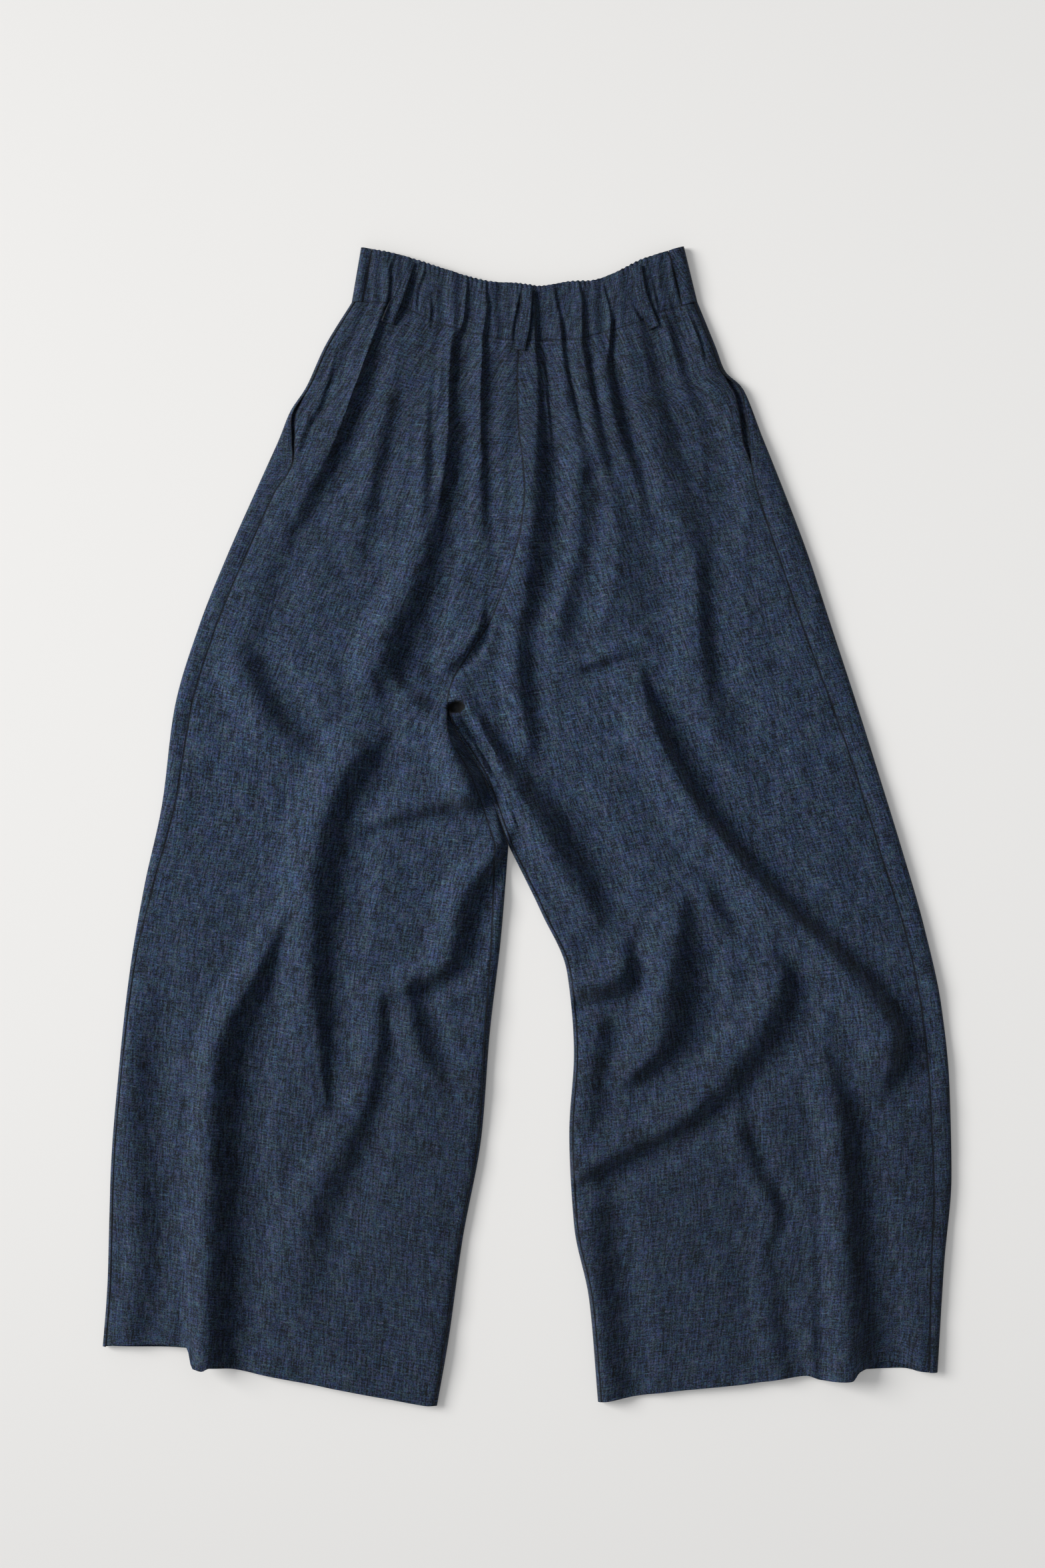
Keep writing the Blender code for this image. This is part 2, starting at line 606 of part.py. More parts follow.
def cloth_from_grid(name, outer, inward, colour, wall=CLOTH):
    """A closed cloth wall: a grid laid on the outer points and extruded inward."""
    rows, columns = outer.shape[:2]
    work = bmesh.new()
    tag = work.verts.layers.int.new("place")
    bmesh.ops.create_grid(work, x_segments=columns - 1, y_segments=rows - 1, size=0.5)
    for vert in work.verts:
        j = int(round((vert.co.x + 0.5) * (columns - 1)))
        i = int(round((vert.co.y + 0.5) * (rows - 1)))
        vert[tag] = i * columns + j
    flat_outer = outer.reshape(-1, 3)
    flat_inner = (outer + inward * wall).reshape(-1, 3)
    for vert in work.verts:
        vert.co = flat_outer[vert[tag]] * MM
    bmesh.ops.triangulate(work, faces=work.faces[:], quad_method="SHORT_EDGE")
    made = bmesh.ops.extrude_face_region(work, geom=work.faces[:], use_keep_orig=True)
    for item in made["geom"]:
        if isinstance(item, bmesh.types.BMVert):
            item.co = flat_inner[item[tag]] * MM
    bmesh.ops.recalc_face_normals(work, faces=work.faces[:])
    mesh = bpy.data.meshes.new(name)
    work.to_mesh(mesh)
    work.free()
    mesh.shade_smooth()
    mesh.set_sharp_from_angle(angle=SHARP_ANGLE)
    mesh.materials.append(linen(name, colour))
    thing = bpy.data.objects.new(name, mesh)
    collection.objects.link(thing)
    return thing


def linen(name, colour):
    """A plain matt linen material."""
    material = bpy.data.materials.new(name + "_linen")
    material.use_nodes = True
    shader = material.node_tree.nodes["Principled BSDF"]
    shader.inputs["Base Color"].default_value = colour
    shader.inputs["Roughness"].default_value = LINEN_ROUGHNESS
    shader.inputs["Metallic"].default_value = 0.0
    return material


def turn_angles(count):
    """Angles of the lower turn, from the side down to the surface."""
    return -0.5 * np.pi * np.arange(1, count + 1) / count


def back_panel(name, leg):
    """The upper layer of one leg, from the outseam to the seat seam and inseam."""
    rows = leg.rows()
    _, _, width = leg.frame(rows)
    closed = leg.closed(rows)
    start = leg.side_values(rows, 2) + leg.side_values(rows, 3)
    end = width - closed * (leg.lip_in(rows) + SEAM_GAP)
    share = np.linspace(0.0, 1.0, BACK_COLUMNS + 1)
    distance = start[:, None] + (end - start)[:, None] * share[None, :]
    row = np.repeat(rows[:, None], BACK_COLUMNS + 1, axis=1)
    outer = leg.top(row, distance)
    return cloth_from_grid(name, outer, -leg.top_normal(row, distance), LINEN_BACK)


def front_panel(name, leg):
    """The lower layer of one leg, turned up at both sides to meet the back."""
    rows = leg.rows()
    _, across, width = leg.frame(rows)
    closed = leg.closed(rows)
    lip_out = leg.side_values(rows, 2)
    lip_in = leg.lip_in(rows)
    points = []
    inward = []

    def on_top(distance):
        points.append(leg.top(rows, distance, 1))
        inward.append(-leg.top_normal(rows, distance, 1))

    def on_floor(distance, height, out_share, down_share, sign):
        place = leg.plan(rows, distance, 1)
        points.append(np.concatenate([place, height[:, None]], -1))
        size = np.hypot(out_share, down_share)
        direction = np.zeros((len(rows), 3))
        direction[:, :2] = across * (sign * out_share / size)[:, None]
        direction[:, 2] = down_share / size
        inward.append(direction)

    one = np.ones(len(rows))
    for k in range(LIP_COLUMNS):
        on_top(lip_out * (1.0 - math.sin(0.5 * math.pi * k / LIP_COLUMNS)))
    on_floor(0.0 * one, TURN_MIDDLE * one, one, 0.0 * one, 1.0)
    for angle in turn_angles(TURN_COLUMNS):
        reach = TURN_REACH * (1.0 - math.cos(angle)) * one
        height = TURN_MIDDLE * (1.0 + math.sin(angle)) * one
        out_share = math.cos(angle) / TURN_REACH * one
        down_share = -math.sin(angle) / TURN_MIDDLE * one
        on_floor(reach, height, out_share, down_share, 1.0)
    inner_start = width - TURN_REACH
    for k in range(1, FLOOR_COLUMNS + 1):
        distance = TURN_REACH + (inner_start - TURN_REACH) * k / FLOOR_COLUMNS
        on_floor(distance, 0.0 * one, 0.0 * one, one, 1.0)
    for k in range(1, INNER_COLUMNS + 1):
        inner_turn(points, inward, leg, rows, across, width, closed, lip_in, k / INNER_COLUMNS)
    outer = np.stack(points, axis=1)
    return cloth_from_grid(name, outer, np.stack(inward, axis=1), LINEN_FRONT)


def inner_turn(points, inward, leg, rows, across, width, closed, lip_in, share):
    """One column of the front's inner side: flat in the seat, turned up below."""
    flat_distance = width - TURN_REACH * (1.0 - share)
    flat = np.concatenate([leg.plan(rows, flat_distance, 1), np.zeros((len(rows), 1))], -1)
    flat_inward = np.zeros((len(rows), 3))
    flat_inward[:, 2] = 1.0
    if share <= 0.5:
        angle = -0.5 * math.pi * (1.0 - 2.0 * share)
        distance = width - TURN_REACH * (1.0 - math.cos(angle))
        height = TURN_MIDDLE * (1.0 + math.sin(angle)) * np.ones(len(rows))
        place = leg.plan(rows, distance, 1)
        turned = np.concatenate([place, height[:, None]], -1)
        out_share = math.cos(angle) / TURN_REACH
        down_share = -math.sin(angle) / TURN_MIDDLE
        size = math.hypot(out_share, down_share)
        turned_inward = np.zeros((len(rows), 3))
        turned_inward[:, :2] = -across * out_share / size
        turned_inward[:, 2] = down_share / size
    else:
        distance = width - lip_in * (2.0 * share - 1.0) ** 2
        turned = leg.top(rows, distance, 1)
        turned_inward = -leg.top_normal(rows, distance, 1)
    mixed = closed[:, None]
    points.append(flat + (turned - flat) * mixed)
    direction = flat_inward + (turned_inward - flat_inward) * mixed
    inward.append(direction / np.linalg.norm(direction, axis=-1, keepdims=True))


def band_plan(across, up):
    """Place on the page of a point of the waistband."""
    low_x = WAIST_SEAM[0][0] + (WAIST_SEAM[-1][0] - WAIST_SEAM[0][0]) * across
    high_x = BAND_LEFT_TOP + (BAND_RIGHT_TOP - BAND_LEFT_TOP) * across
    low_y = waist_y(low_x) + SEAM_GAP
    high_y = through(column(BAND_TOP, 0), column(BAND_TOP, 1), high_x)
    return np.stack([low_x + (high_x - low_x) * up, low_y + (high_y - low_y) * up], -1)


def band_top(across, up):
    """A point of the outer side of the band's upper layer."""
    place = band_plan(across, up)
    width = band_width(up)
    turn = turn_share(across * width) * turn_share((1.0 - across) * width)
    height = upper_height(place[..., 0], place[..., 1])
    height = TURN_MIDDLE + (height - TURN_MIDDLE) * turn
    return np.concatenate([place, height[..., None]], -1)


def band_width(up):
    """Width of the band at a share of the way up."""
    low = WAIST_SEAM[-1][0] - WAIST_SEAM[0][0]
    return low + (BAND_RIGHT_TOP - BAND_LEFT_TOP - low) * up


def band_normal(across, up):
    """Direction straight out of the band's upper layer."""
    left = np.maximum(across - SLOPE_SHARE, 0.0001)
    right = np.minimum(across + SLOPE_SHARE, 0.9999)
    side = band_top(right, up) - band_top(left, up)
    higher = np.minimum(up + SLOPE_ROWS, 1.0)
    lower = np.maximum(up - SLOPE_ROWS, 0.0)
    return upward(np.cross(side, band_top(across, higher) - band_top(across, lower)))


def waistband_back():
    """The gathered casing that holds the elastic."""
    up = np.repeat(np.linspace(0.0, 1.0, BAND_ROWS + 1)[:, None], BAND_COLUMNS + 1, axis=1)
    width = band_width(up)
    start = (BAND_LEFT_SEAM + SEAM_GAP) / width
    end = 1.0 - (BAND_RIGHT_SEAM + SEAM_GAP) / width
    share = np.linspace(0.0, 1.0, BAND_COLUMNS + 1)[None, :]
    across = start + (end - start) * share
    outer = band_top(across, up)
    return cloth_from_grid("waistband_back", outer, -band_normal(across, up), LINEN_BAND)


def front_seam_shares():
    """Where the front panels' columns meet the band, as shares of its width."""
    places = []
    for leg in (left_leg, right_leg):
        _, across, width = leg.frame(np.zeros(1))
        inner_start = width[0] - TURN_REACH
        for k in range(1, FLOOR_COLUMNS + 1):
            distance = TURN_REACH + (inner_start - TURN_REACH) * k / FLOOR_COLUMNS
            places.append(leg.outer[0][0] + across[0, 0] * distance)
    low = WAIST_SEAM[0][0]
    return sorted((place - low) / (WAIST_SEAM[-1][0] - low) for place in places)


def front_band_height(across):
    """Height of the front of the band against its back, lower in the middle."""
    from_side = np.minimum(across, 1.0 - across)
    return 1.0 - FRONT_BAND_DIP * smooth_step(FRONT_BAND_DIP_STARTS, FRONT_BAND_DIP_FULL, from_side)


def waistband_front():
    """The flat front of the band, turned up over both sides."""
    levels = np.linspace(0.0, 1.0, BAND_ROWS + 1)
    width = band_width(levels)
    one = np.ones(len(levels))
    points = []
    inward = []

    def on_top(distance):
        points.append(band_top(distance / width, levels))
        inward.append(-band_normal(distance / width, levels))

    def on_floor(distance, angle, sign):
        place = band_plan(distance / width, levels * front_band_height(distance / width))
        height = TURN_MIDDLE * (1.0 + math.sin(angle)) * one
        points.append(np.concatenate([place, height[:, None]], -1))
        out_share = math.cos(angle) / TURN_REACH
        down_share = -math.sin(angle) / TURN_MIDDLE
        size = math.hypot(out_share, down_share)
        inward.append(np.column_stack([sign * out_share / size * one, 0.0 * one, down_share / size * one]))

    for k in range(LIP_COLUMNS):
        on_top(BAND_LEFT_SEAM * (1.0 - math.sin(0.5 * math.pi * k / LIP_COLUMNS)) * one)
    for angle in (0.0, *turn_angles(TURN_COLUMNS)):
        on_floor(TURN_REACH * (1.0 - math.cos(angle)) * one, angle, 1.0)
    for share in front_seam_shares():
        on_floor(share * width, -0.5 * math.pi, 1.0)
    for angle in (*reversed(turn_angles(TURN_COLUMNS)), 0.0):
        on_floor(width - TURN_REACH * (1.0 - math.cos(angle)), angle, -1.0)
    for k in range(1, LIP_COLUMNS + 1):
        share = 1.0 - math.cos(0.5 * math.pi * k / LIP_COLUMNS)
        on_top(width - BAND_RIGHT_SEAM * share)
    outer = np.stack(points, axis=1)
    return cloth_from_grid("waistband_front", outer, np.stack(inward, axis=1), LINEN_BAND)


def belt_loop(name, top_end, middle, low_end):
    """A narrow strip that lies on the gathers, sewn down at both ends."""
    steps = np.linspace(0.0, 1.0, LOOP_LINES)
    knots = (0.0, 0.5, 1.0)
    x = through(knots, (top_end[0], middle[0], low_end[0]), steps)
    y = through(knots, (top_end[1], middle[1], low_end[1]), steps)
    along = np.stack([np.gradient(x), np.gradient(y)], -1)
    along = along / np.linalg.norm(along, axis=-1, keepdims=True)
    side = np.stack([-along[:, 1], along[:, 0]], -1)
    offsets = np.linspace(-0.5, 0.5, LOOP_COLUMNS + 1) * LOOP_WIDTH
    outer = np.zeros((len(steps), len(offsets), 3))
    outer[..., 0] = x[:, None] + side[:, 0:1] * offsets[None, :]
    outer[..., 1] = y[:, None] + side[:, 1:2] * offsets[None, :]
    spread = np.linspace(-1.0, 1.0, LOOP_PROBES)
    step_across = spread[None, None, :, None] * LOOP_REACH_ACROSS
    step_along = spread[None, None, None, :] * LOOP_REACH_ALONG
    side_x, side_y = side[:, 0, None, None, None], side[:, 1, None, None, None]
    along_x, along_y = along[:, 0, None, None, None], along[:, 1, None, None, None]
    under_x = outer[..., 0, None, None] + side_x * step_across + along_x * step_along
    under_y = outer[..., 1, None, None] + side_y * step_across + along_y * step_along
    levels = upper_height(under_x, under_y).max(axis=(2, 3))
    bridging = LOOP_BRIDGING * np.sin(np.pi * steps)[:, None]
    levels = levels + (levels.max(axis=1, keepdims=True) - levels) * bridging
    arch = LOOP_ARCH * np.sin(np.pi * steps)[:, None]
    outer[..., 2] = levels + LOOP_CLEARANCE + arch + CLOTH
    down = np.zeros_like(outer)
    down[..., 2] = -1.0
    return cloth_from_grid(name, outer, down, LINEN_LOOP)


def pocket_facing(name, leg, first_row, last_row):
    """The strip of cloth inside a pocket that shows in its mouth."""
    rows = np.linspace(first_row, last_row, FACING_LINES)
    lip = leg.side_values(rows, 2)
    mouth_end = lip + leg.side_values(rows, 3)
    start = np.maximum(lip - FACING_UNDER_FRONT, FACING_FROM_SIDE)
    end = mouth_end + FACING_UNDER_BACK
    share = np.linspace(0.0, 1.0, FACING_COLUMNS + 1)
    distance = start[:, None] + (end - start)[:, None] * share[None, :]
    row = np.repeat(rows[:, None], FACING_COLUMNS + 1, axis=1)
    inward = -leg.top_normal(row, distance)
    outer = leg.top(row, distance) + inward * (CLOTH + SEAM_GAP + FACING_CLEARANCE)
    return cloth_from_grid(name, outer, inward, LINEN_FACING, wall=FACING_WALL)


left_leg = Leg(LEFT_OUTER, LEFT_INNER, LEFT_HEM)
right_leg = Leg(RIGHT_OUTER, RIGHT_INNER, RIGHT_HEM)
back_panel("back_panel_left", left_leg)
back_panel("back_panel_right", right_leg)
front_panel("front_panel_left", left_leg)
front_panel("front_panel_right", right_leg)
waistband_back()
waistband_front()
for loop in BELT_LOOPS:
    belt_loop(*loop)
pocket_facing("pocket_facing_left", left_leg, *LEFT_POCKET_ROWS)
pocket_facing("pocket_facing_right", right_leg, *RIGHT_POCKET_ROWS)
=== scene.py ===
"""The looks of wide-leg pull-on trousers in slubby indigo linen, laid flat with the back up.

Sizes are in millimetres and become metres when the meshes are made. X runs across
the trousers, Y from hem to waist and Z up off the surface they lie on.
"""
import math

import bpy
import numpy as np
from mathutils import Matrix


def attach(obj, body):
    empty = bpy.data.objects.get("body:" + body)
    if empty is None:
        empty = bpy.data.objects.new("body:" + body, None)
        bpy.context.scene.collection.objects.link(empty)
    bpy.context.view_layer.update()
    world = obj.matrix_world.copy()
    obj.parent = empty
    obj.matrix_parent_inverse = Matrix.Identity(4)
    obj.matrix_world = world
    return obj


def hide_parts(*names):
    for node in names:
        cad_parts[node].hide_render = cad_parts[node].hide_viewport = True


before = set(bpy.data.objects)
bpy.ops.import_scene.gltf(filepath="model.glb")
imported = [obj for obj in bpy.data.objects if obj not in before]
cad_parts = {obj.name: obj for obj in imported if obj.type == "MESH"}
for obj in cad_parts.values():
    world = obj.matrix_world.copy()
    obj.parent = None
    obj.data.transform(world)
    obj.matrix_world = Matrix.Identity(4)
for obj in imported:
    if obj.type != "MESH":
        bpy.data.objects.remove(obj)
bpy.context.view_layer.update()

MM = 0.001

# Cloth and the sides of a leg
CLOTH = 0.8
SEAM_GAP = 0.15
LEG_CLEARANCE = 0.015
TURN_REACH = 7.0
TURN_MIDDLE = 3.5
SEAM_DIP = 0.7
SEAM_DIP_REACH = 2.6
DIP_HEIGHTS = (2.0, 6.0)
DIP_LIP_WIDTHS = (3.2, 5.0)
OUTER_GAP = 0.3
FOLDED_HEIGHT = 1.8
FOLDED_SHARES = (0.35, 0.65)
NO_SEAM = 100.0
SMOOTH_ANGLE = 50.0

# Heights of the upper layer above the surface
BASE_HEIGHT = 9.0
LOWEST_HEIGHT = 2.3
CLAMP_SOFTNESS = 1.3

# Waistband
BAND_LEFT_SEAM = 10.0
BAND_RIGHT_SEAM = 14.0
FRONT_BAND_DIP = 0.06
FRONT_BAND_DIP_STARTS = 0.05
FRONT_BAND_DIP_FULL = 0.14
BAND_HEIGHT = 49.0
BAND_GATHERED_IN = 1.6
BAND_WAIST_DIP = 0.8
BAND_TOP_DIP_SPREAD = 30.0

# Soft gathers under the elastic, between the ones listed in the creases
GATHERS_PER_HALF = 12.5
GATHER_HEIGHT = 0.45
GATHER_REACH = 85.0
GATHER_SPREAD = 330.0
GATHER_DRIFT = 0.30
GATHER_DRIFT_RATE = 9.0
GATHER_DRIFT_START = 0.7
GATHER_MEAN = 0.68
GATHER_SWELL = 0.32
GATHER_SWELL_RATE = 14.0
GATHER_SWELL_START = 1.1
GATHER_SIDE_END = 0.86

# Pocket facings: rows of each mouth, how far they reach under both panels and stay
# from the side, how far they lie below the cloth and sink in the mouth
LEFT_POCKET_ROWS = (2.6, 4.9)
RIGHT_POCKET_ROWS = (2.4, 4.9)
FACING_UNDER_FRONT = 5.0
FACING_UNDER_BACK = 9.0
FACING_FROM_SIDE = 2.6
FACING_LEVEL = 1.7
FACING_SINK_SPREAD = 2.5
FACING_ROW_LENGTH = 26.0
POCKET_DEPTH = 3.4

# Ruffled upper edge of the band
RUFFLES = 67.0
RUFFLE_DRIFT = 0.9
RUFFLE_DRIFT_RATE = 23.0
RUFFLE_HEIGHT = 0.5
RUFFLE_RISE = 0.45
RUFFLE_REACH = 0.26
RUFFLE_MEAN = 0.6
RUFFLE_SWELL = 0.4
RUFFLE_SWELL_RATE = 39.1
RUFFLE_SIDE_FADE = 8.0

# Hole that the cloth puckers into under the end of the seat seam: middle, half
# width and half height, turn, floor of the hole, and the rim that stands round it
HOLE_MIDDLE = (-63.8, 107.5)
HOLE_HALVES = (9.5, 6.5)
HOLE_TURN = 12.0
HOLE_FLOOR = 1.9
HOLE_WALL = 0.45
RIM_HEIGHT = 3.0
RIM_REACH = 2.4

# Streaks down from the waist: waves across half the seat, height, drift, start
STREAKS = (
    (5.3, 0.50, 0.9, 0.4),
    (8.1, 0.34, 0.7, 2.1),
    (11.7, 0.20, 0.8, 4.3),
)
STREAK_HALF_WIDTH = 155.0
STREAK_REACH = 330.0
STREAK_WANDER = 70.0
STREAK_WANDER_START = 3.0
STREAK_WANDER_ACROSS = 5.0

# Shallow unevenness: wavelength, angle of the waves, height, start
CRUMPLES = (
    (83.0, 8.0, 0.62, 0.3),
    (61.0, 38.0, 0.34, 1.9),
    (47.0, -21.0, 0.30, 4.0),
    (39.0, 71.0, 0.17, 2.6),
    (31.0, 14.0, 0.17, 5.2),
    (26.0, -52.0, 0.10, 0.9),
    (21.0, 27.0, 0.08, 3.3),
)
CRUMPLE_BEND = 9.0
CRUMPLE_BEND_LENGTH = 37.0

# Belt loops: the strip, how it lies on the gathers, and how far round a point the
# height under it is looked up
LOOP_WIDTH = 10.0
LOOP_LENGTH = 57.0
LOOP_THICKNESS = 1.7
LOOP_CROWN = 0.5
LOOP_CLEARANCE = 0.4
LOOP_ARCH = 0.9
LOOP_BRIDGING = 0.6
LOOP_EDGE_LINE = 0.3
LOOP_REACH_ACROSS = 2.0
LOOP_REACH_ALONG = 3.0
LOOP_PROBES = 5

# Waist seam from the left side to the right side: x, y
WAIST_SEAM = (
    (-157.8, 471.0),
    (-129.6, 470.4),
    (-73.2, 450.0),
    (-36.6, 440.4),
    (-7.2, 436.6),
    (21.6, 436.8),
    (42.6, 437.4),
    (61.8, 442.2),
    (98.4, 452.4),
    (119.4, 462.0),
    (153.0, 471.6),
)

# Upper edge of the band from the left side to the right side: x, y
BAND_TOP = (
    (-149.4, 520.4),
    (-114.6, 513.6),
    (-78.6, 502.2),
    (-51.6, 493.8),
    (-33.6, 489.6),
    (-6.6, 487.8),
    (11.4, 485.4),
    (38.4, 489.6),
    (56.4, 490.2),
    (74.4, 495.6),
    (101.4, 508.8),
    (119.4, 514.8),
    (141.0, 521.4),
)
BAND_LEFT_TOP = BAND_TOP[0][0]
BAND_RIGHT_TOP = BAND_TOP[-1][0]

# Outer edge of each leg from waist to hem: x, y, width of the front panel
# that shows on top, width of the gap between it and the back panel
LEFT_OUTER = (
    (-157.8, 471.0, 3.0, 0.3),
    (-181.8, 432.0, 3.0, 0.3),
    (-199.2, 394.2, 3.0, 0.3),
    (-213.0, 373.2, 3.2, 3.2),
    (-223.2, 348.0, 12.0, 2.6),
    (-234.0, 324.0, 22.0, 0.3),
    (-244.8, 300.0, 17.0, 0.3),
    (-268.8, 246.0, 16.0, 0.3),
    (-295.2, 180.0, 15.0, 0.3),
    (-317.4, 105.0, 15.0, 0.3),
    (-328.2, 21.0, 12.0, 0.3),
    (-344.4, -54.0, 8.0, 0.3),
    (-357.6, -132.0, 3.5, 0.3),
    (-367.2, -219.0, 3.0, 0.3),
    (-374.4, -309.0, 3.0, 0.3),
    (-377.4, -411.0, 3.0, 0.3),
    (-381.6, -466.8, 3.0, 0.3),
)
RIGHT_OUTER = (
    (153.0, 471.6, 3.0, 0.3),
    (169.2, 432.0, 3.0, 0.3),
    (178.2, 409.2, 3.0, 0.3),
    (193.2, 394.8, 3.2, 6.0),
    (211.2, 351.0, 12.0, 6.0),
    (221.4, 325.8, 20.0, 0.3),
    (231.6, 300.0, 24.0, 0.3),
    (252.0, 246.0, 26.0, 0.3),
    (273.6, 180.0, 25.0, 0.3),
    (295.2, 114.0, 22.0, 0.3),
    (315.0, 51.0, 20.0, 0.3),
    (337.2, -21.0, 20.0, 0.3),
    (357.0, -90.0, 18.0, 0.3),
    (372.6, -162.0, 18.0, 0.3),
    (379.8, -234.0, 18.0, 0.3),
    (381.6, -313.2, 16.5, 0.3),
    (375.0, -393.0, 12.0, 0.3),
    (369.0, -490.2, 8.0, 0.3),
)

# Seat seam, then the line where the two legs touch, down to the open gap: x, y
MIDDLE_LINE = (
    (-7.2, 436.6),
    (-9.0, 399.0),
    (-8.4, 373.2),
    (-7.2, 354.0),
    (-4.2, 330.0),
    (-2.4, 303.0),
    (-5.4, 270.0),
    (-29.4, 192.6),
    (-71.4, 112.8),
    (-37.2, 40.8),
    (-16.8, -16.8),
)
WAIST_SAG_ROWS = 5.0
CROTCH_ROW = 8
GAP_ROW = 10
CLOSING_ROWS = 0.6

# Inner edge of each leg from the open gap to the hem: x, y, and the width of
# the front panel that turns up to the inseam
LEFT_INNER = (
    (-16.8, -16.8, 12.0),
    (-23.4, -98.4, 8.5),
    (-33.6, -186.0, 4.5),
    (-40.8, -276.0, 3.0),
    (-58.2, -372.0, 3.0),
    (-70.8, -462.0, 3.0),
    (-81.0, -520.2, 3.0),
)
RIGHT_INNER = (
    (-16.8, -16.8, 3.0),
    (12.6, -76.8, 3.0),
    (36.0, -132.0, 3.0),
    (42.0, -204.0, 3.0),
    (37.8, -276.0, 3.0),
    (42.0, -357.0, 3.0),
    (55.8, -426.0, 3.0),
    (63.6, -516.6, 3.0),
)

# Hem lines against a straight line: share of the way in from the outer edge,
# rise of the front panel's hem, rise of the back panel's hem
LEFT_HEM = (
    (0.000, 0.0, 0.0),
    (0.060, 2.5, 5.0),
    (0.240, 11.0, 13.5),
    (0.255, 11.3, 13.8),
    (0.272, -2.2, -3.0),
    (0.300, -2.5, -3.3),
    (0.325, 1.0, 0.4),
    (0.500, 0.6, 0.0),
    (0.960, -1.0, -1.6),
    (1.000, 0.0, 0.0),
)
RIGHT_HEM = (
    (0.000, 0.0, 0.0),
    (0.040, 1.6, 2.0),
    (0.070, 3.6, 4.4),
    (0.102, 6.2, 10.4),
    (0.159, 7.2, 13.6),
    (0.204, 7.6, 10.6),
    (0.234, 8.0, 8.4),
    (0.257, 1.6, 1.2),
    (0.342, 3.6, 3.0),
    (0.387, 8.6, 7.6),
    (0.570, 6.0, 5.0),
    (0.810, 4.5, 3.6),
    (1.000, 0.0, 0.0),
)
HEM_FADE_ROWS = 0.7

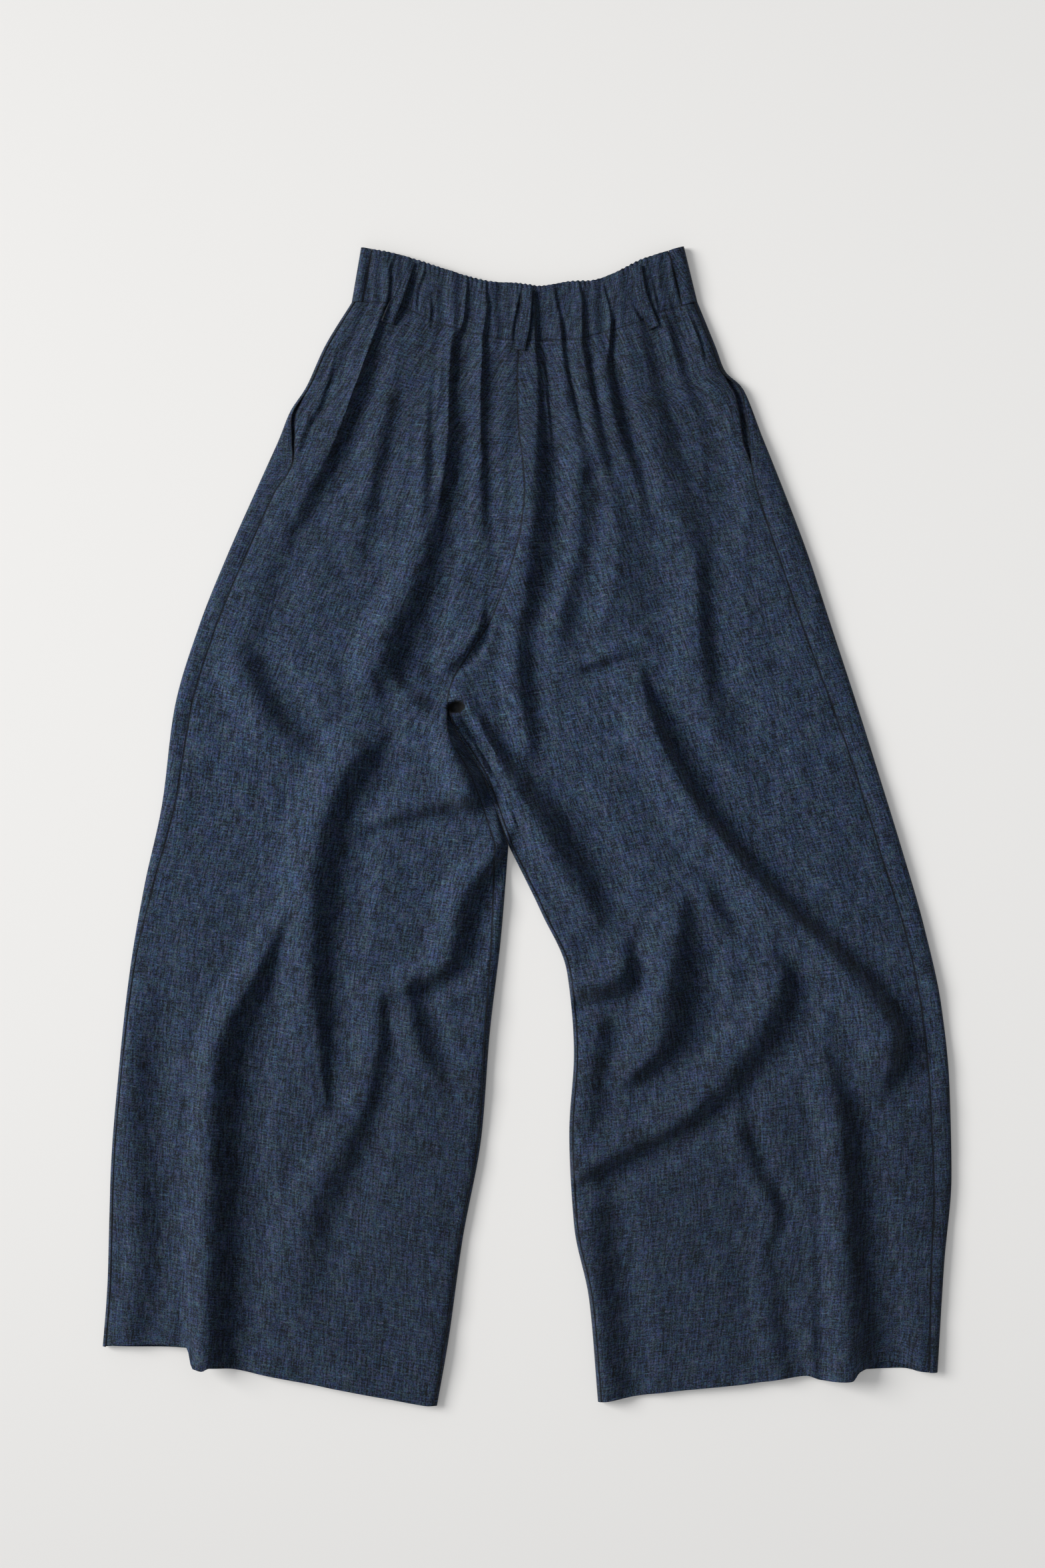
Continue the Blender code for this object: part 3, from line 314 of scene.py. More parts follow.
# Folds of the upper layer: height of the crest, depth of the trough beside it, how
# far the crest and the trough fade out, and the path. Each point of a path has its
# place, half the way from crest to trough there, and the share of the full height.
# The crest lies on the right of the way that a path runs.
FOLDS = (
    # left hip, and the soft cross fold under it
    (4.5, 3.5, 24, 26, (
        (-119, 480, 1.4, 0.1), (-127, 462, 1.5, 0.25), (-142, 420, 2.4, 0.55), (-155, 384, 3.6, 0.85),
        (-168, 349, 5.0, 1.0), (-182, 317, 6.5, 0.95), (-198, 286, 9, 0.7), (-214, 255, 10, 0.45),
        (-232, 216, 11, 0.3), (-245, 174, 12, 0.3))),
    (6.2, 5, 30, 26, (
        (-250, 156, 10, 0.5), (-240, 130, 12, 0.8), (-227, 106, 13, 1.0), (-211, 86, 13, 1.0),
        (-192, 70, 11, 0.6))),
    (2.2, 2, 16, 16, (
        (-112, 417, 5, 0.3), (-122, 372, 7, 0.9), (-131, 330, 7, 1.0), (-139, 288, 8, 1.0),
        (-147, 246, 9, 0.5))),
    # seat, left of the seam
    (1.8, 1.8, 10, 8, (
        (-85, 402, 4, 0.4), (-88, 366, 4, 0.9), (-89, 330, 4.5, 1.0), (-90, 294, 5, 0.9),
        (-91, 264, 6, 0.3))),
    (5.5, 4, 26, 24, (
        (-54, 480, 1.2, 0.1), (-56, 456, 1.4, 0.18), (-65, 428, 2.2, 0.35), (-68, 390, 3.6, 0.55),
        (-67, 354, 5.5, 0.75), (-71, 315, 7.5, 0.9), (-77, 279, 9, 1.0), (-85, 243, 11, 1.05),
        (-96, 207, 14, 1.4), (-108, 177, 17, 1.8), (-119, 150, 18, 2.0), (-127, 130, 15, 1.4),
        (-130, 112, 9, 0.15))),
    (4.2, 8, 16, 22, (
        (-113, 152, 9, 0.4), (-105, 132, 12, 1.0), (-94, 115, 12, 1.0), (-80, 101, 9, 0.6))),
    (2.6, 2.4, 12, 12, (
        (-36, 462, 1.2, 0.3), (-39, 437, 1.8, 0.5), (-38, 426, 2.2, 0.6), (-39, 390, 4, 0.9),
        (-40, 354, 4.5, 0.9), (-39, 318, 5, 0.9), (-37, 282, 5.5, 0.7), (-32, 243, 7, 0.3))),
    (4, 2.5, 16, 6, (
        (-38, 197, 2.5, 0.1), (-40, 180, 4, 0.9), (-47, 163, 5.5, 1.0), (-58, 150, 5, 0.9),
        (-74, 139, 4, 0.3))),
    # seat, right of the seam
    (6, 5, 22, 20, (
        (6, 477, 1.4, 0.15), (8, 444, 1.8, 0.25), (12, 408, 3.2, 0.4), (13, 375, 4.6, 0.55),
        (14, 345, 7.5, 0.85), (16, 312, 11, 1.15), (17, 279, 13, 1.3), (13, 246, 13.5, 1.3),
        (8, 219, 11.5, 1.0), (3, 195, 9, 0.6))),
    (4.6, 3.8, 16, 18, (
        (-1, 180, 8, 0.6), (-2, 153, 9.5, 1.0), (-1, 126, 9, 1.0), (3, 99, 8, 0.9),
        (7, 69, 8, 0.6))),
    (4.2, 4.2, 22, 22, (
        (50, 312, 12, 0.7), (48, 272, 14, 1.15), (45, 232, 14, 1.15), (40, 192, 12, 0.85),
        (36, 162, 9, 0.3))),
    (5, 4, 34, 34, (
        (80, 400, 28, 0.5), (90, 330, 36, 1.0), (98, 260, 36, 1.0), (105, 200, 30, 0.6))),
    (2, 2, 14, 12, (
        (94, 155, 4, 0.5), (74, 149, 5, 1.0), (56, 143, 5, 1.0), (40, 139, 5, 0.4))),
    (2, 2, 8, 8, (
        (31, 444, 1.5, 0.5), (34, 414, 2.6, 0.7), (39, 384, 3.6, 0.9), (47, 351, 4.5, 0.5),
        (53, 324, 5, 0.2))),
    (2.4, 2.2, 10, 10, (
        (50, 456, 1.4, 0.4), (51, 436, 2, 0.55), (53, 418, 2.6, 0.7), (57, 390, 3.6, 0.8),
        (65, 354, 4.5, 0.7), (74, 315, 5, 0.4), (80, 282, 5, 0.2))),
    (3.2, 2.8, 14, 14, (
        (76, 450, 1.5, 0.35), (74, 417, 2.8, 0.65), (79, 381, 4.2, 0.85), (88, 348, 5, 1.0),
        (101, 312, 5.5, 0.7), (110, 276, 6, 0.3))),
    # right hip
    (6.6, 5, 34, 30, (
        (103, 450, 5, 0.3), (116, 408, 10, 0.55), (130, 360, 16, 0.85), (143, 315, 21, 1.0),
        (153, 276, 18, 0.9), (158, 240, 11, 0.8), (159, 204, 8.5, 0.8), (161, 168, 8.5, 0.8),
        (167, 130, 10, 0.65), (178, 94, 12, 0.4), (187, 66, 10, 0.15))),
    (2.8, 2.6, 16, 16, (
        (128, 456, 4, 0.5), (135, 426, 5, 0.8), (147, 390, 7, 0.8), (163, 348, 9, 0.5),
        (176, 300, 10, 0.2))),
    # right thigh, across to the outer knee
    (11.5, 6, 34, 32, (
        (106, 129, 5, 0.3), (115, 103, 7, 0.8), (130, 70, 8.5, 1.0), (149, 35, 9, 1.0),
        (176, -4, 9, 1.0), (207, -41, 9, 1.0), (242, -77, 9, 1.0), (278, -109, 10, 1.0),
        (307, -138, 12, 1.0), (327, -164, 14, 1.15), (337, -188, 14, 1.2), (334, -212, 13, 0.9),
        (322, -233, 10, 0.35))),
    # inner thighs below the crotch
    (9.5, 5.5, 20, 30, (
        (-38, 92, 6, 0.45), (-20, 62, 9.5, 0.9), (2, 35, 15, 1.15), (22, 11, 19, 1.35),
        (39, -18, 18, 1.2), (56, -48, 15, 0.9), (68, -75, 11, 0.4))),
    (5.6, 4, 26, 20, (
        (-40, 28, 8, 1.05), (-61, 20, 9, 1.0), (-85, 14, 8, 0.85), (-112, 7, 7.5, 0.75),
        (-139, -1, 7, 0.6))),
    (9, 7, 22, 10, (
        (-65, 95, 7, 0.6), (-58, 74, 12, 1.1), (-48, 51, 15, 1.2), (-41, 33, 11, 0.9))),
    # left thigh
    (9.5, 5, 36, 34, (
        (-133, 72, 7, 0.35), (-143, 59, 12, 0.95), (-155, 41, 14, 1.05), (-165, 21, 13, 0.95),
        (-173, -9, 17, 1.1), (-177, -42, 17, 1.1), (-180, -75, 15, 1.05), (-183, -108, 13.5, 0.95),
        (-184, -141, 12, 0.85), (-182, -174, 9, 0.7), (-181, -210, 6.5, 0.5),
        (-178, -246, 4, 0.2))),
    # left knee, calf, tube and outer side
    (8, 4.5, 24, 16, (
        (-17, -13, 4, 0.5), (-29, -35, 6, 0.8), (-44, -55, 9, 1.0), (-53, -79, 11, 1.1),
        (-57, -102, 12, 1.1), (-64, -123, 10, 1.0), (-82, -136, 8, 0.9), (-101, -144, 7, 0.7),
        (-115, -150, 6, 0.3))),
    (5.4, 4.2, 18, 16, (
        (-100, -149, 8, 0.6), (-97, -171, 10, 1.0), (-90, -195, 11, 0.85), (-77, -221, 10, 0.4))),
    (4.4, 3.2, 26, 26, (
        (-129, -156, 5, 0.4), (-128, -186, 6.5, 0.8), (-132, -216, 8, 0.9), (-140, -249, 9, 0.95),
        (-152, -282, 12, 1.0), (-167, -315, 15, 1.0), (-182, -348, 16, 0.9),
        (-192, -384, 15, 0.6), (-198, -420, 12, 0.3))),
    (11, 5, 24, 34, (
        (-220, -91, 5, 0.3), (-230, -117, 7, 0.6), (-243, -147, 9, 0.8), (-257, -174, 12, 0.9),
        (-265, -204, 14, 1.0), (-269, -240, 15.5, 1.0), (-270, -288, 16.5, 1.0),
        (-271, -342, 17, 1.0), (-272, -396, 17, 1.0), (-273, -444, 16, 1.0),
        (-274, -486, 15, 1.0))),
    (2.2, 2.6, 16, 20, (
        (-338, -156, 10, 0.4), (-341, -204, 14, 0.9), (-344, -264, 14, 1.0), (-341, -324, 14, 1.0),
        (-339, -384, 13, 1.0), (-347, -444, 12, 0.8), (-350, -470, 11, 0.6))),
    # right knee
    (8.5, 5, 30, 26, (
        (144, -75, 7, 0.4), (143, -99, 13, 0.85), (142, -126, 17, 1.1), (141, -153, 18, 1.2),
        (137, -180, 17, 1.15), (127, -200, 13, 1.0), (112, -214, 9, 0.8), (95, -227, 7, 0.4))),
    (4.4, 4, 16, 16, (
        (158, -39, 9, 0.4), (169, -60, 10, 0.9), (176, -84, 10, 0.6))),
    (8.4, 5.4, 18, 14, (
        (92, -113, 7, 0.4), (94, -131, 12, 1.0), (85, -145, 13, 1.1), (68, -150, 12, 1.1),
        (49, -152, 11, 1.0))),
    (3.2, 3.4, 18, 16, (
        (73, -165, 9, 0.6), (69, -198, 11, 1.0), (65, -234, 11, 0.8), (61, -270, 10, 0.4))),
    # right calf, tube and the soft valleys to the hem
    (8, 4.5, 28, 26, (
        (224, -111, 8, 0.4), (235, -135, 12, 0.9), (235, -156, 14.5, 1.0), (223, -180, 15.5, 1.0),
        (203, -207, 15, 1.0), (183, -233, 12, 0.9), (158, -255, 9.5, 0.85), (131, -274, 8, 0.8),
        (101, -289, 8, 0.8), (68, -306, 8, 0.8), (50, -315, 8, 0.8))),
    (3.2, 3, 18, 16, (
        (193, -240, 6, 0.4), (195, -270, 8, 0.9), (205, -300, 8, 0.9), (220, -327, 8, 1.0),
        (226, -351, 7, 0.8), (218, -378, 7, 0.3))),
    (9, 5, 26, 30, (
        (272, -210, 7, 0.3), (283, -240, 11, 0.7), (290, -270, 13, 0.9), (293, -312, 14, 1.0),
        (296, -360, 15, 1.0), (299, -408, 17, 1.05), (303, -450, 19, 1.1), (305, -492, 20, 1.1))),
    (3.2, 4, 16, 26, (
        (68, -321, 12, 0.6), (70, -366, 15, 1.0), (75, -414, 15, 1.0), (80, -462, 15, 1.0),
        (83, -507, 14, 1.0))),
    (1.1, 1.1, 8, 8, (
        (259, -324, 4, 0.5), (260, -396, 4.5, 1.0), (261, -486, 5, 1.0))),
    (2.2, 2.2, 14, 14, (
        (219, -384, 9, 0.4), (224, -432, 12, 1.0), (234, -492, 12, 1.0))),
)

# Short creases and gathers: height, half the way across, fade, path
CREASES = (
    # along the band and just under it
    (0.9, 1.1, 4, ((-119, 511), (-123, 499), (-123, 489), (-124, 477), (-127, 466))),
    (1.5, 1.4, 5, ((-99, 499), (-108, 478), (-112, 466), (-119, 452))),
    (0.8, 1.4, 5, ((-90, 501), (-94, 492), (-98, 480), (-99, 468), (-98, 459))),
    (1.0, 1.0, 4, ((-86, 475), (-86, 462), (-87, 448))),
    (1.2, 1.2, 5, ((-53, 489), (-54, 474), (-55, 459), (-57, 449), (-61, 440))),
    (1.1, 1.0, 4, ((-37, 487), (-36, 474), (-35, 462), (-36, 448), (-39, 441))),
    (0.9, 1.0, 4, ((-6, 480), (-9, 464), (-12, 448), (-13, 430))),
    (1.3, 1.3, 5, ((6, 482), (8, 466), (8, 444), (9, 424))),
    (0.9, 1.0, 4, ((25, 482), (27, 470), (30, 458), (32, 446), (34, 428))),
    (1.0, 1.2, 5, ((47, 487), (50, 475), (52, 462), (52, 446), (50, 432))),
    (0.6, 1.2, 5, ((53, 489), (55, 474))),
    (0.9, 1.0, 4, ((68, 490), (71, 478), (74, 466), (76, 450), (76, 436), (73, 420))),
    (0.6, 0.9, 4, ((61, 441), (64, 422))),
    (0.9, 1.0, 4, ((96, 466), (100, 458), (106, 450))),
    (1.0, 1.2, 5, ((111, 495), (116, 472), (118, 462))),
    (0.7, 1.5, 5, ((126, 480), (130, 466), (137, 444), (149, 420))),
    (1.1, 1.1, 5, ((126, 516), (130, 508), (132, 494), (135, 482), (138, 472))),
    (1.2, 1.2, 5, ((142, 466), (150, 450), (156, 432), (160, 416))),
    # the edge of the right leg over the left
    (2.4, 1.8, 6, ((-63, 102), (-51, 82), (-38, 58), (-25, 34), (-13, 10), (-6, -8))),
    # the sharp bottoms of the folds under the waist
    (1.3, 1.4, 4, ((-64, 442), (-67, 424), (-68, 390), (-69, 354), (-72, 318), (-77, 290))),
    (1.2, 1.3, 4, ((-38, 446), (-39, 424), (-40, 390), (-40, 354), (-37, 316))),
    (1.4, 1.4, 4, ((-129, 462), (-143, 422), (-156, 386), (-168, 350), (-180, 322))),
    (1.2, 1.3, 4, ((12, 440), (16, 410), (19, 380), (22, 348), (24, 318))),
    (1.0, 1.2, 4, ((33, 436), (37, 408), (43, 378), (50, 350))),
    (1.0, 1.2, 4, ((53, 438), (56, 410), (60, 384), (68, 352))),
    (0.9, 1.2, 4, ((76, 440), (77, 410), (82, 380), (92, 348))),
    # beside the left pocket
    (0.9, 1.5, 6, ((-172, 422), (-176, 405), (-181, 390), (-185, 378), (-190, 370))),
    (1.6, 3.0, 7, ((-190, 370), (-194, 364), (-197, 358))),
    (0.9, 1.6, 6, ((-197, 360), (-202, 345), (-206, 330))),
    # thin lines on the seat
    (0.5, 0.9, 4, ((-74, 448), (-77, 400), (-81, 364), (-88, 336))),
    (0.6, 1.0, 4, ((80, 442), (84, 436))),
)
FOLD_LIFT = 1.38
CREASE_TROUGH = 0.7
CREASE_ENDS = 0.25
FOLD_END_FADE = 22.0
PATH_STEPS = 5
CLOSER_BY = 1e-9

# Belt loops: name, then x, y of the upper and lower end and of the middle
BELT_LOOPS = (
    ("left", (-105.6, 507.5), (-113.5, 482.0), (-124.8, 451.5)),
    ("center", (0.0, 482.5), (-2.0, 455.0), (-7.0, 427.5)),
    ("right", (97.5, 503.0), (101.5, 480.0), (113.5, 447.5)),
)

# Mesh density: lines down a piece and columns across it
PANEL_LINES = 330
WAIST_CLOSER = 1.5
CROTCH_CLOSER = 1.0
CLOSE_LINES_REACH = 0.8
FINE_PER_ROW = 40
PANEL_COLUMNS = 146
FRONT_LINES = 230
FRONT_LIP_COLUMNS = 7
FRONT_TURN_COLUMNS = 7
FRONT_FLOOR_COLUMNS = 54
BAND_COLUMNS = 420
BAND_LINES = 40
LOOP_LINES = 50
LOOP_COLUMNS = 13
FACING_LINES = 60
FACING_COLUMNS = 14


def column(table, index):
    """One column of a table."""
    return np.array([row[index] for row in table], float)


def smooth_step(low, high, value):
    """0 below low, 1 above high and a soft change between."""
    share = np.clip((np.asarray(value, float) - low) / (high - low), 0.0, 1.0)
    return share * share * (3.0 - 2.0 * share)


def through(knots, values, at):
    """A smooth curve through a table's values that never overshoots them."""
    knots = np.asarray(knots, float)
    values = np.asarray(values, float)
    at = np.clip(np.asarray(at, float), knots[0], knots[-1])
    widths = np.diff(knots)
    slopes = np.diff(values) / widths
    tangents = np.zeros(len(knots))
    tangents[0] = slopes[0]
    tangents[-1] = slopes[-1]
    for k in range(1, len(knots) - 1):
        before, after = slopes[k - 1], slopes[k]
        if before * after > 0.0:
            weight_a = 2.0 * widths[k] + widths[k - 1]
            weight_b = widths[k] + 2.0 * widths[k - 1]
            tangents[k] = (weight_a + weight_b) / (weight_a / before + weight_b / after)
    part = np.clip(np.searchsorted(knots, at, side="right") - 1, 0, len(knots) - 2)
    width = widths[part]
    t = (at - knots[part]) / width
    rest = 1.0 - t
    return (
        (1.0 + 2.0 * t) * rest * rest * values[part]
        + t * t * (3.0 - 2.0 * t) * values[part + 1]
        + t * rest * rest * width * tangents[part]
        - t * t * rest * width * tangents[part + 1]
    )


def smooth_path(points):
    """A path through its points, finely divided, with its widths and strengths."""
    points = np.array(points, float)
    steps = np.arange(len(points), dtype=float)
    fine = np.linspace(0.0, len(points) - 1.0, PATH_STEPS * (len(points) - 1) + 1)
    return np.column_stack([through(steps, points[:, k], fine) for k in range(4)])


def nearest_on_path(path, x, y):
    """Signed distance to a path, place along it in steps and distance past an end."""
    starts = path[:-1, :2]
    spans = np.diff(path[:, :2], axis=0)
    lengths = np.hypot(spans[:, 0], spans[:, 1])
    best = np.full(x.shape, np.inf)
    signed = np.zeros(x.shape)
    step = np.zeros(x.shape)
    beyond = np.zeros(x.shape)
    last = len(starts) - 1
    for k in range(last + 1):
        direction = spans[k] / lengths[k]
        off_x = x - starts[k, 0]
        off_y = y - starts[k, 1]
        along = off_x * direction[0] + off_y * direction[1]
        across = -off_x * direction[1] + off_y * direction[0]
        kept = np.clip(along, 0.0, lengths[k])
        distance = np.hypot(along - kept, across)
        closer = distance < best - CLOSER_BY
        past = np.zeros(x.shape)
        if k == 0:
            past = np.maximum(past, -along)
        if k == last:
            past = np.maximum(past, along - lengths[k])
        side = np.where(across >= 0.0, 1.0, -1.0)
        at_end = past > 0.0
        best = np.where(closer, distance, best)
        signed = np.where(closer, np.where(at_end, across, side * distance), signed)
        step = np.where(closer, k + kept / lengths[k], step)
        beyond = np.where(closer, past, beyond)
    return signed, step, beyond


def tail(ratio):
    """A soft bump that starts at 1 and reaches 0 where the ratio is 1."""
    rest = np.clip(1.0 - ratio * ratio, 0.0, 1.0)
    return rest * rest


def fold_height(fold, x, y):
    """Height that one fold adds at each place."""
    crest, trough, crest_fade, trough_fade, points = fold
    path = smooth_path(points)
    signed, step, beyond = nearest_on_path(path, x, y)
    half = np.interp(step, np.arange(len(path)), path[:, 2])
    strength = np.interp(step, np.arange(len(path)), path[:, 3])
    swing = 0.5 * (crest + trough)
    middle = 0.5 * (crest - trough)
    steep = middle + swing * np.cos(np.pi * np.clip((signed + half) / (2.0 * half), 0.0, 1.0))
    light_side = crest * tail(np.clip((-half - signed) / crest_fade, 0.0, 1.0))
    shade_side = -trough * tail(np.clip((signed - half) / trough_fade, 0.0, 1.0))
    shape = np.where(signed < -half, light_side, np.where(signed > half, shade_side, steep))
    end_fade = np.minimum(FOLD_END_FADE, 2.0 * (half + crest_fade))
    return shape * strength * tail(np.clip(beyond / end_fade, 0.0, 1.0))


def crease_as_fold(crease):
    """A short crease written as a fold, weak at both ends."""
    height, half, fade, points = crease
    last = len(points) - 1
    path = tuple(
        (x, y, half, CREASE_ENDS if k in (0, last) else 1.0) for k, (x, y) in enumerate(points))
    return (height, CREASE_TROUGH * height, fade, fade, path)


ALL_FOLDS = FOLDS + tuple(crease_as_fold(crease) for crease in CREASES)


def folds_height(x, y):
    """Height that all the folds add, each worked out only near its own path."""
    total = np.zeros(x.shape)
    for fold in ALL_FOLDS:
        points = np.array(fold[-1], float)
        reach = points[:, 2].max() + max(fold[2], fold[3], FOLD_END_FADE)
        low = points[:, :2].min(axis=0) - reach
        high = points[:, :2].max(axis=0) + reach
        near = (x > low[0]) & (x < high[0]) & (y > low[1]) & (y < high[1])
        if near.any():
            total[near] += FOLD_LIFT * fold_height(fold, x[near], y[near])
    return total


def waist_y(x):
    """Height up the page of the waist seam."""
    return through(column(WAIST_SEAM, 0), column(WAIST_SEAM, 1), x)


def gather_height(x, y):
    """Small waves that the elastic draws up, in the band and fading below it."""
    below = np.maximum(waist_y(x) - y, 0.0)
    spread = 1.0 + below / GATHER_SPREAD
    middle = MIDDLE_LINE[0][0]
    half_width = np.where(x < middle, middle - WAIST_SEAM[0][0], WAIST_SEAM[-1][0] - middle)
    share = (x - middle) / (half_width * spread)
    drift = GATHER_DRIFT * np.sin(GATHER_DRIFT_RATE * share + GATHER_DRIFT_START)
    turns = GATHERS_PER_HALF * share + drift
    strength = GATHER_MEAN + GATHER_SWELL * np.sin(GATHER_SWELL_RATE * share + GATHER_SWELL_START)
    fade = tail(np.clip(below / GATHER_REACH, 0.0, 1.0))
    edge = smooth_step(1.0, GATHER_SIDE_END, np.abs(share))
    return GATHER_HEIGHT * strength * fade * edge * np.cos(2.0 * np.pi * turns)


def streak_height(x, y):
    """Soft streaks that run down from the gathers and fade over the seat."""
    below = np.maximum(waist_y(x) - y, 0.0)
    share = (x - MIDDLE_LINE[0][0]) / (STREAK_HALF_WIDTH * (1.0 + below / GATHER_SPREAD))
    fade = tail(np.clip(below / STREAK_REACH, 0.0, 1.0))
    total = np.zeros(np.shape(x))
    for turns, height, drift, start in STREAKS:
        turned = STREAK_WANDER_START * start + STREAK_WANDER_ACROSS * share
        wander = drift * np.sin(below / STREAK_WANDER + turned)
        total += height * np.cos(2.0 * np.pi * turns * share + start + wander)
    return total * fade


def crumple_height(x, y):
    """Shallow unevenness of the whole cloth, waves that cross at odd angles."""
    bend = CRUMPLE_BEND * (np.sin(y / CRUMPLE_BEND_LENGTH) + np.sin(x / CRUMPLE_BEND_LENGTH))
    total = np.zeros(np.shape(x))
    for length, angle, height, start in CRUMPLES:
        along = x * math.cos(math.radians(angle)) + y * math.sin(math.radians(angle)) + bend
        total += height * np.sin(2.0 * np.pi * along / length + start)
    return total


def hole_distance(x, y):
    """Distance from the middle of the puckered hole, 1 at its edge."""
    turn = math.radians(HOLE_TURN)
    off_x = x - HOLE_MIDDLE[0]
    off_y = y - HOLE_MIDDLE[1]
    along = off_x * math.cos(turn) + off_y * math.sin(turn)
    up = off_y * math.cos(turn) - off_x * math.sin(turn)
    return np.hypot(along / HOLE_HALVES[0], up / HOLE_HALVES[1])


def upper_height(x, y):
    """Height of the upper layer's outer side anywhere on the trousers."""
    x = np.asarray(x, float)
    y = np.asarray(y, float)
    height = BASE_HEIGHT + gather_height(x, y) + folds_height(x, y)
    height = height + streak_height(x, y) + crumple_height(x, y)
    above = (height - LOWEST_HEIGHT) / CLAMP_SOFTNESS
    height = LOWEST_HEIGHT + CLAMP_SOFTNESS * np.logaddexp(0.0, above)
    from_middle = hole_distance(x, y)
    height = height + RIM_HEIGHT * tail(np.clip((from_middle - 1.0) / (RIM_REACH - 1.0), 0.0, 1.0))
    sunk = 1.0 - smooth_step(1.0 - HOLE_WALL, 1.0, from_middle)
    return height + (HOLE_FLOOR - height) * sunk


def turn_share(distance):
    """How far the cloth has risen round the side turn, 0 at the side to 1."""
    rest = 1.0 - np.clip(distance / TURN_REACH, 0.0, 1.0)
    return np.sqrt(np.clip(1.0 - rest * rest, 0.0, 1.0))


class Leg:
    """One leg with its half of the seat, from the waist seam to the hem."""

    def __init__(self, outer, inner, hem):
        self.outer = outer
        self.inner = inner
        self.hem = hem
        self.last = len(outer) - 1

    def lines(self, count):
        """Places of lines across the leg in table rows, closer at the waist and crotch."""
        fine = np.linspace(0.0, self.last, FINE_PER_ROW * self.last + 1)
        length = self.length_to(fine)
        crotch = np.abs(fine - CROTCH_ROW) / CLOSE_LINES_REACH
        density = 1.0 + WAIST_CLOSER * tail(np.clip(fine, 0.0, 1.0))
        density = density + CROTCH_CLOSER * tail(np.clip(crotch, 0.0, 1.0))
        steps = 0.5 * (density[1:] + density[:-1]) * np.diff(length)
        spread = np.concatenate([[0.0], np.cumsum(steps)])
        return np.interp(np.linspace(0.0, spread[-1], count), spread, fine)

    def length_to(self, row):
        """Length down the leg to each row, along its middle."""
        middle = np.stack([
            0.5 * (self.side_values(row, k) + self.inner_values(row, k)) for k in (0, 1)
        ], -1)
        steps = np.linalg.norm(np.diff(middle, axis=0), axis=-1)
        return np.concatenate([[0.0], np.cumsum(steps)])

    def side_values(self, row, index):
        """A column of the outer edge's table, at a row."""
        return through(np.arange(len(self.outer)), column(self.outer, index), row)

    def inner_values(self, row, index):
        """X or Y of the inner edge at a row: the seat seam, then the leg's own edge."""
        shared = through(np.arange(GAP_ROW + 1), column(MIDDLE_LINE, index), row)
        own = through(np.arange(GAP_ROW, self.last + 1), column(self.inner, index), row)
        return np.where(row <= GAP_ROW, shared, own)

    def lip_in(self, row):
        """Width of the front panel that turns up to the inseam."""
        return through(np.arange(GAP_ROW, self.last + 1), column(self.inner, 2), row)

    def closed(self, row):
        """0 above the crotch, where the halves are sewn together, and 1 down the leg."""
        return smooth_step(CROTCH_ROW, CROTCH_ROW + CLOSING_ROWS, row)

    def line(self, row):
        """Outer end, direction across and width of the line at a row."""
        row = np.asarray(row, float)
        outer = np.stack([self.side_values(row, 0), self.side_values(row, 1)], -1)
        inner = np.stack([self.inner_values(row, 0), self.inner_values(row, 1)], -1)
        across = inner - outer
        width = np.linalg.norm(across, axis=-1)
        return outer, across / width[..., None], width - LEG_CLEARANCE

    def plan(self, row, distance, hem_column):
        """Place on the page of a point so far in from the outer edge."""
        outer, across, width = self.line(row)
        place = outer + across * distance[..., None]
        share = np.clip(distance / width, 0.0, 1.0)
        first, first_across, first_width = self.line(np.zeros_like(row))
        waist_x = first[..., 0] + first_across[..., 0] * share * first_width
        straight = first[..., 1] + first_across[..., 1] * share * first_width
        sag = (waist_y(waist_x) - straight) * (1.0 - smooth_step(0.0, WAIST_SAG_ROWS, row))
        rise = through(column(self.hem, 0), column(self.hem, hem_column), share)
        rise = rise * smooth_step(self.last - HEM_FADE_ROWS, self.last, row)
        place[..., 1] += sag + rise
        return place

    def top(self, row, distance, hem_column=2):
        """A point of the upper layer's outer side."""
        _, _, width = self.line(row)
        place = self.plan(row, distance, hem_column)
        height = upper_height(place[..., 0], place[..., 1])
        closed = self.closed(row)
        turn = turn_share(distance) * (1.0 - closed + closed * turn_share(width - distance))
        height = TURN_MIDDLE + (height - TURN_MIDDLE) * turn
        return np.concatenate([place, height[..., None]], -1)


LEFT_LEG = Leg(LEFT_OUTER, LEFT_INNER, LEFT_HEM)
RIGHT_LEG = Leg(RIGHT_OUTER, RIGHT_INNER, RIGHT_HEM)


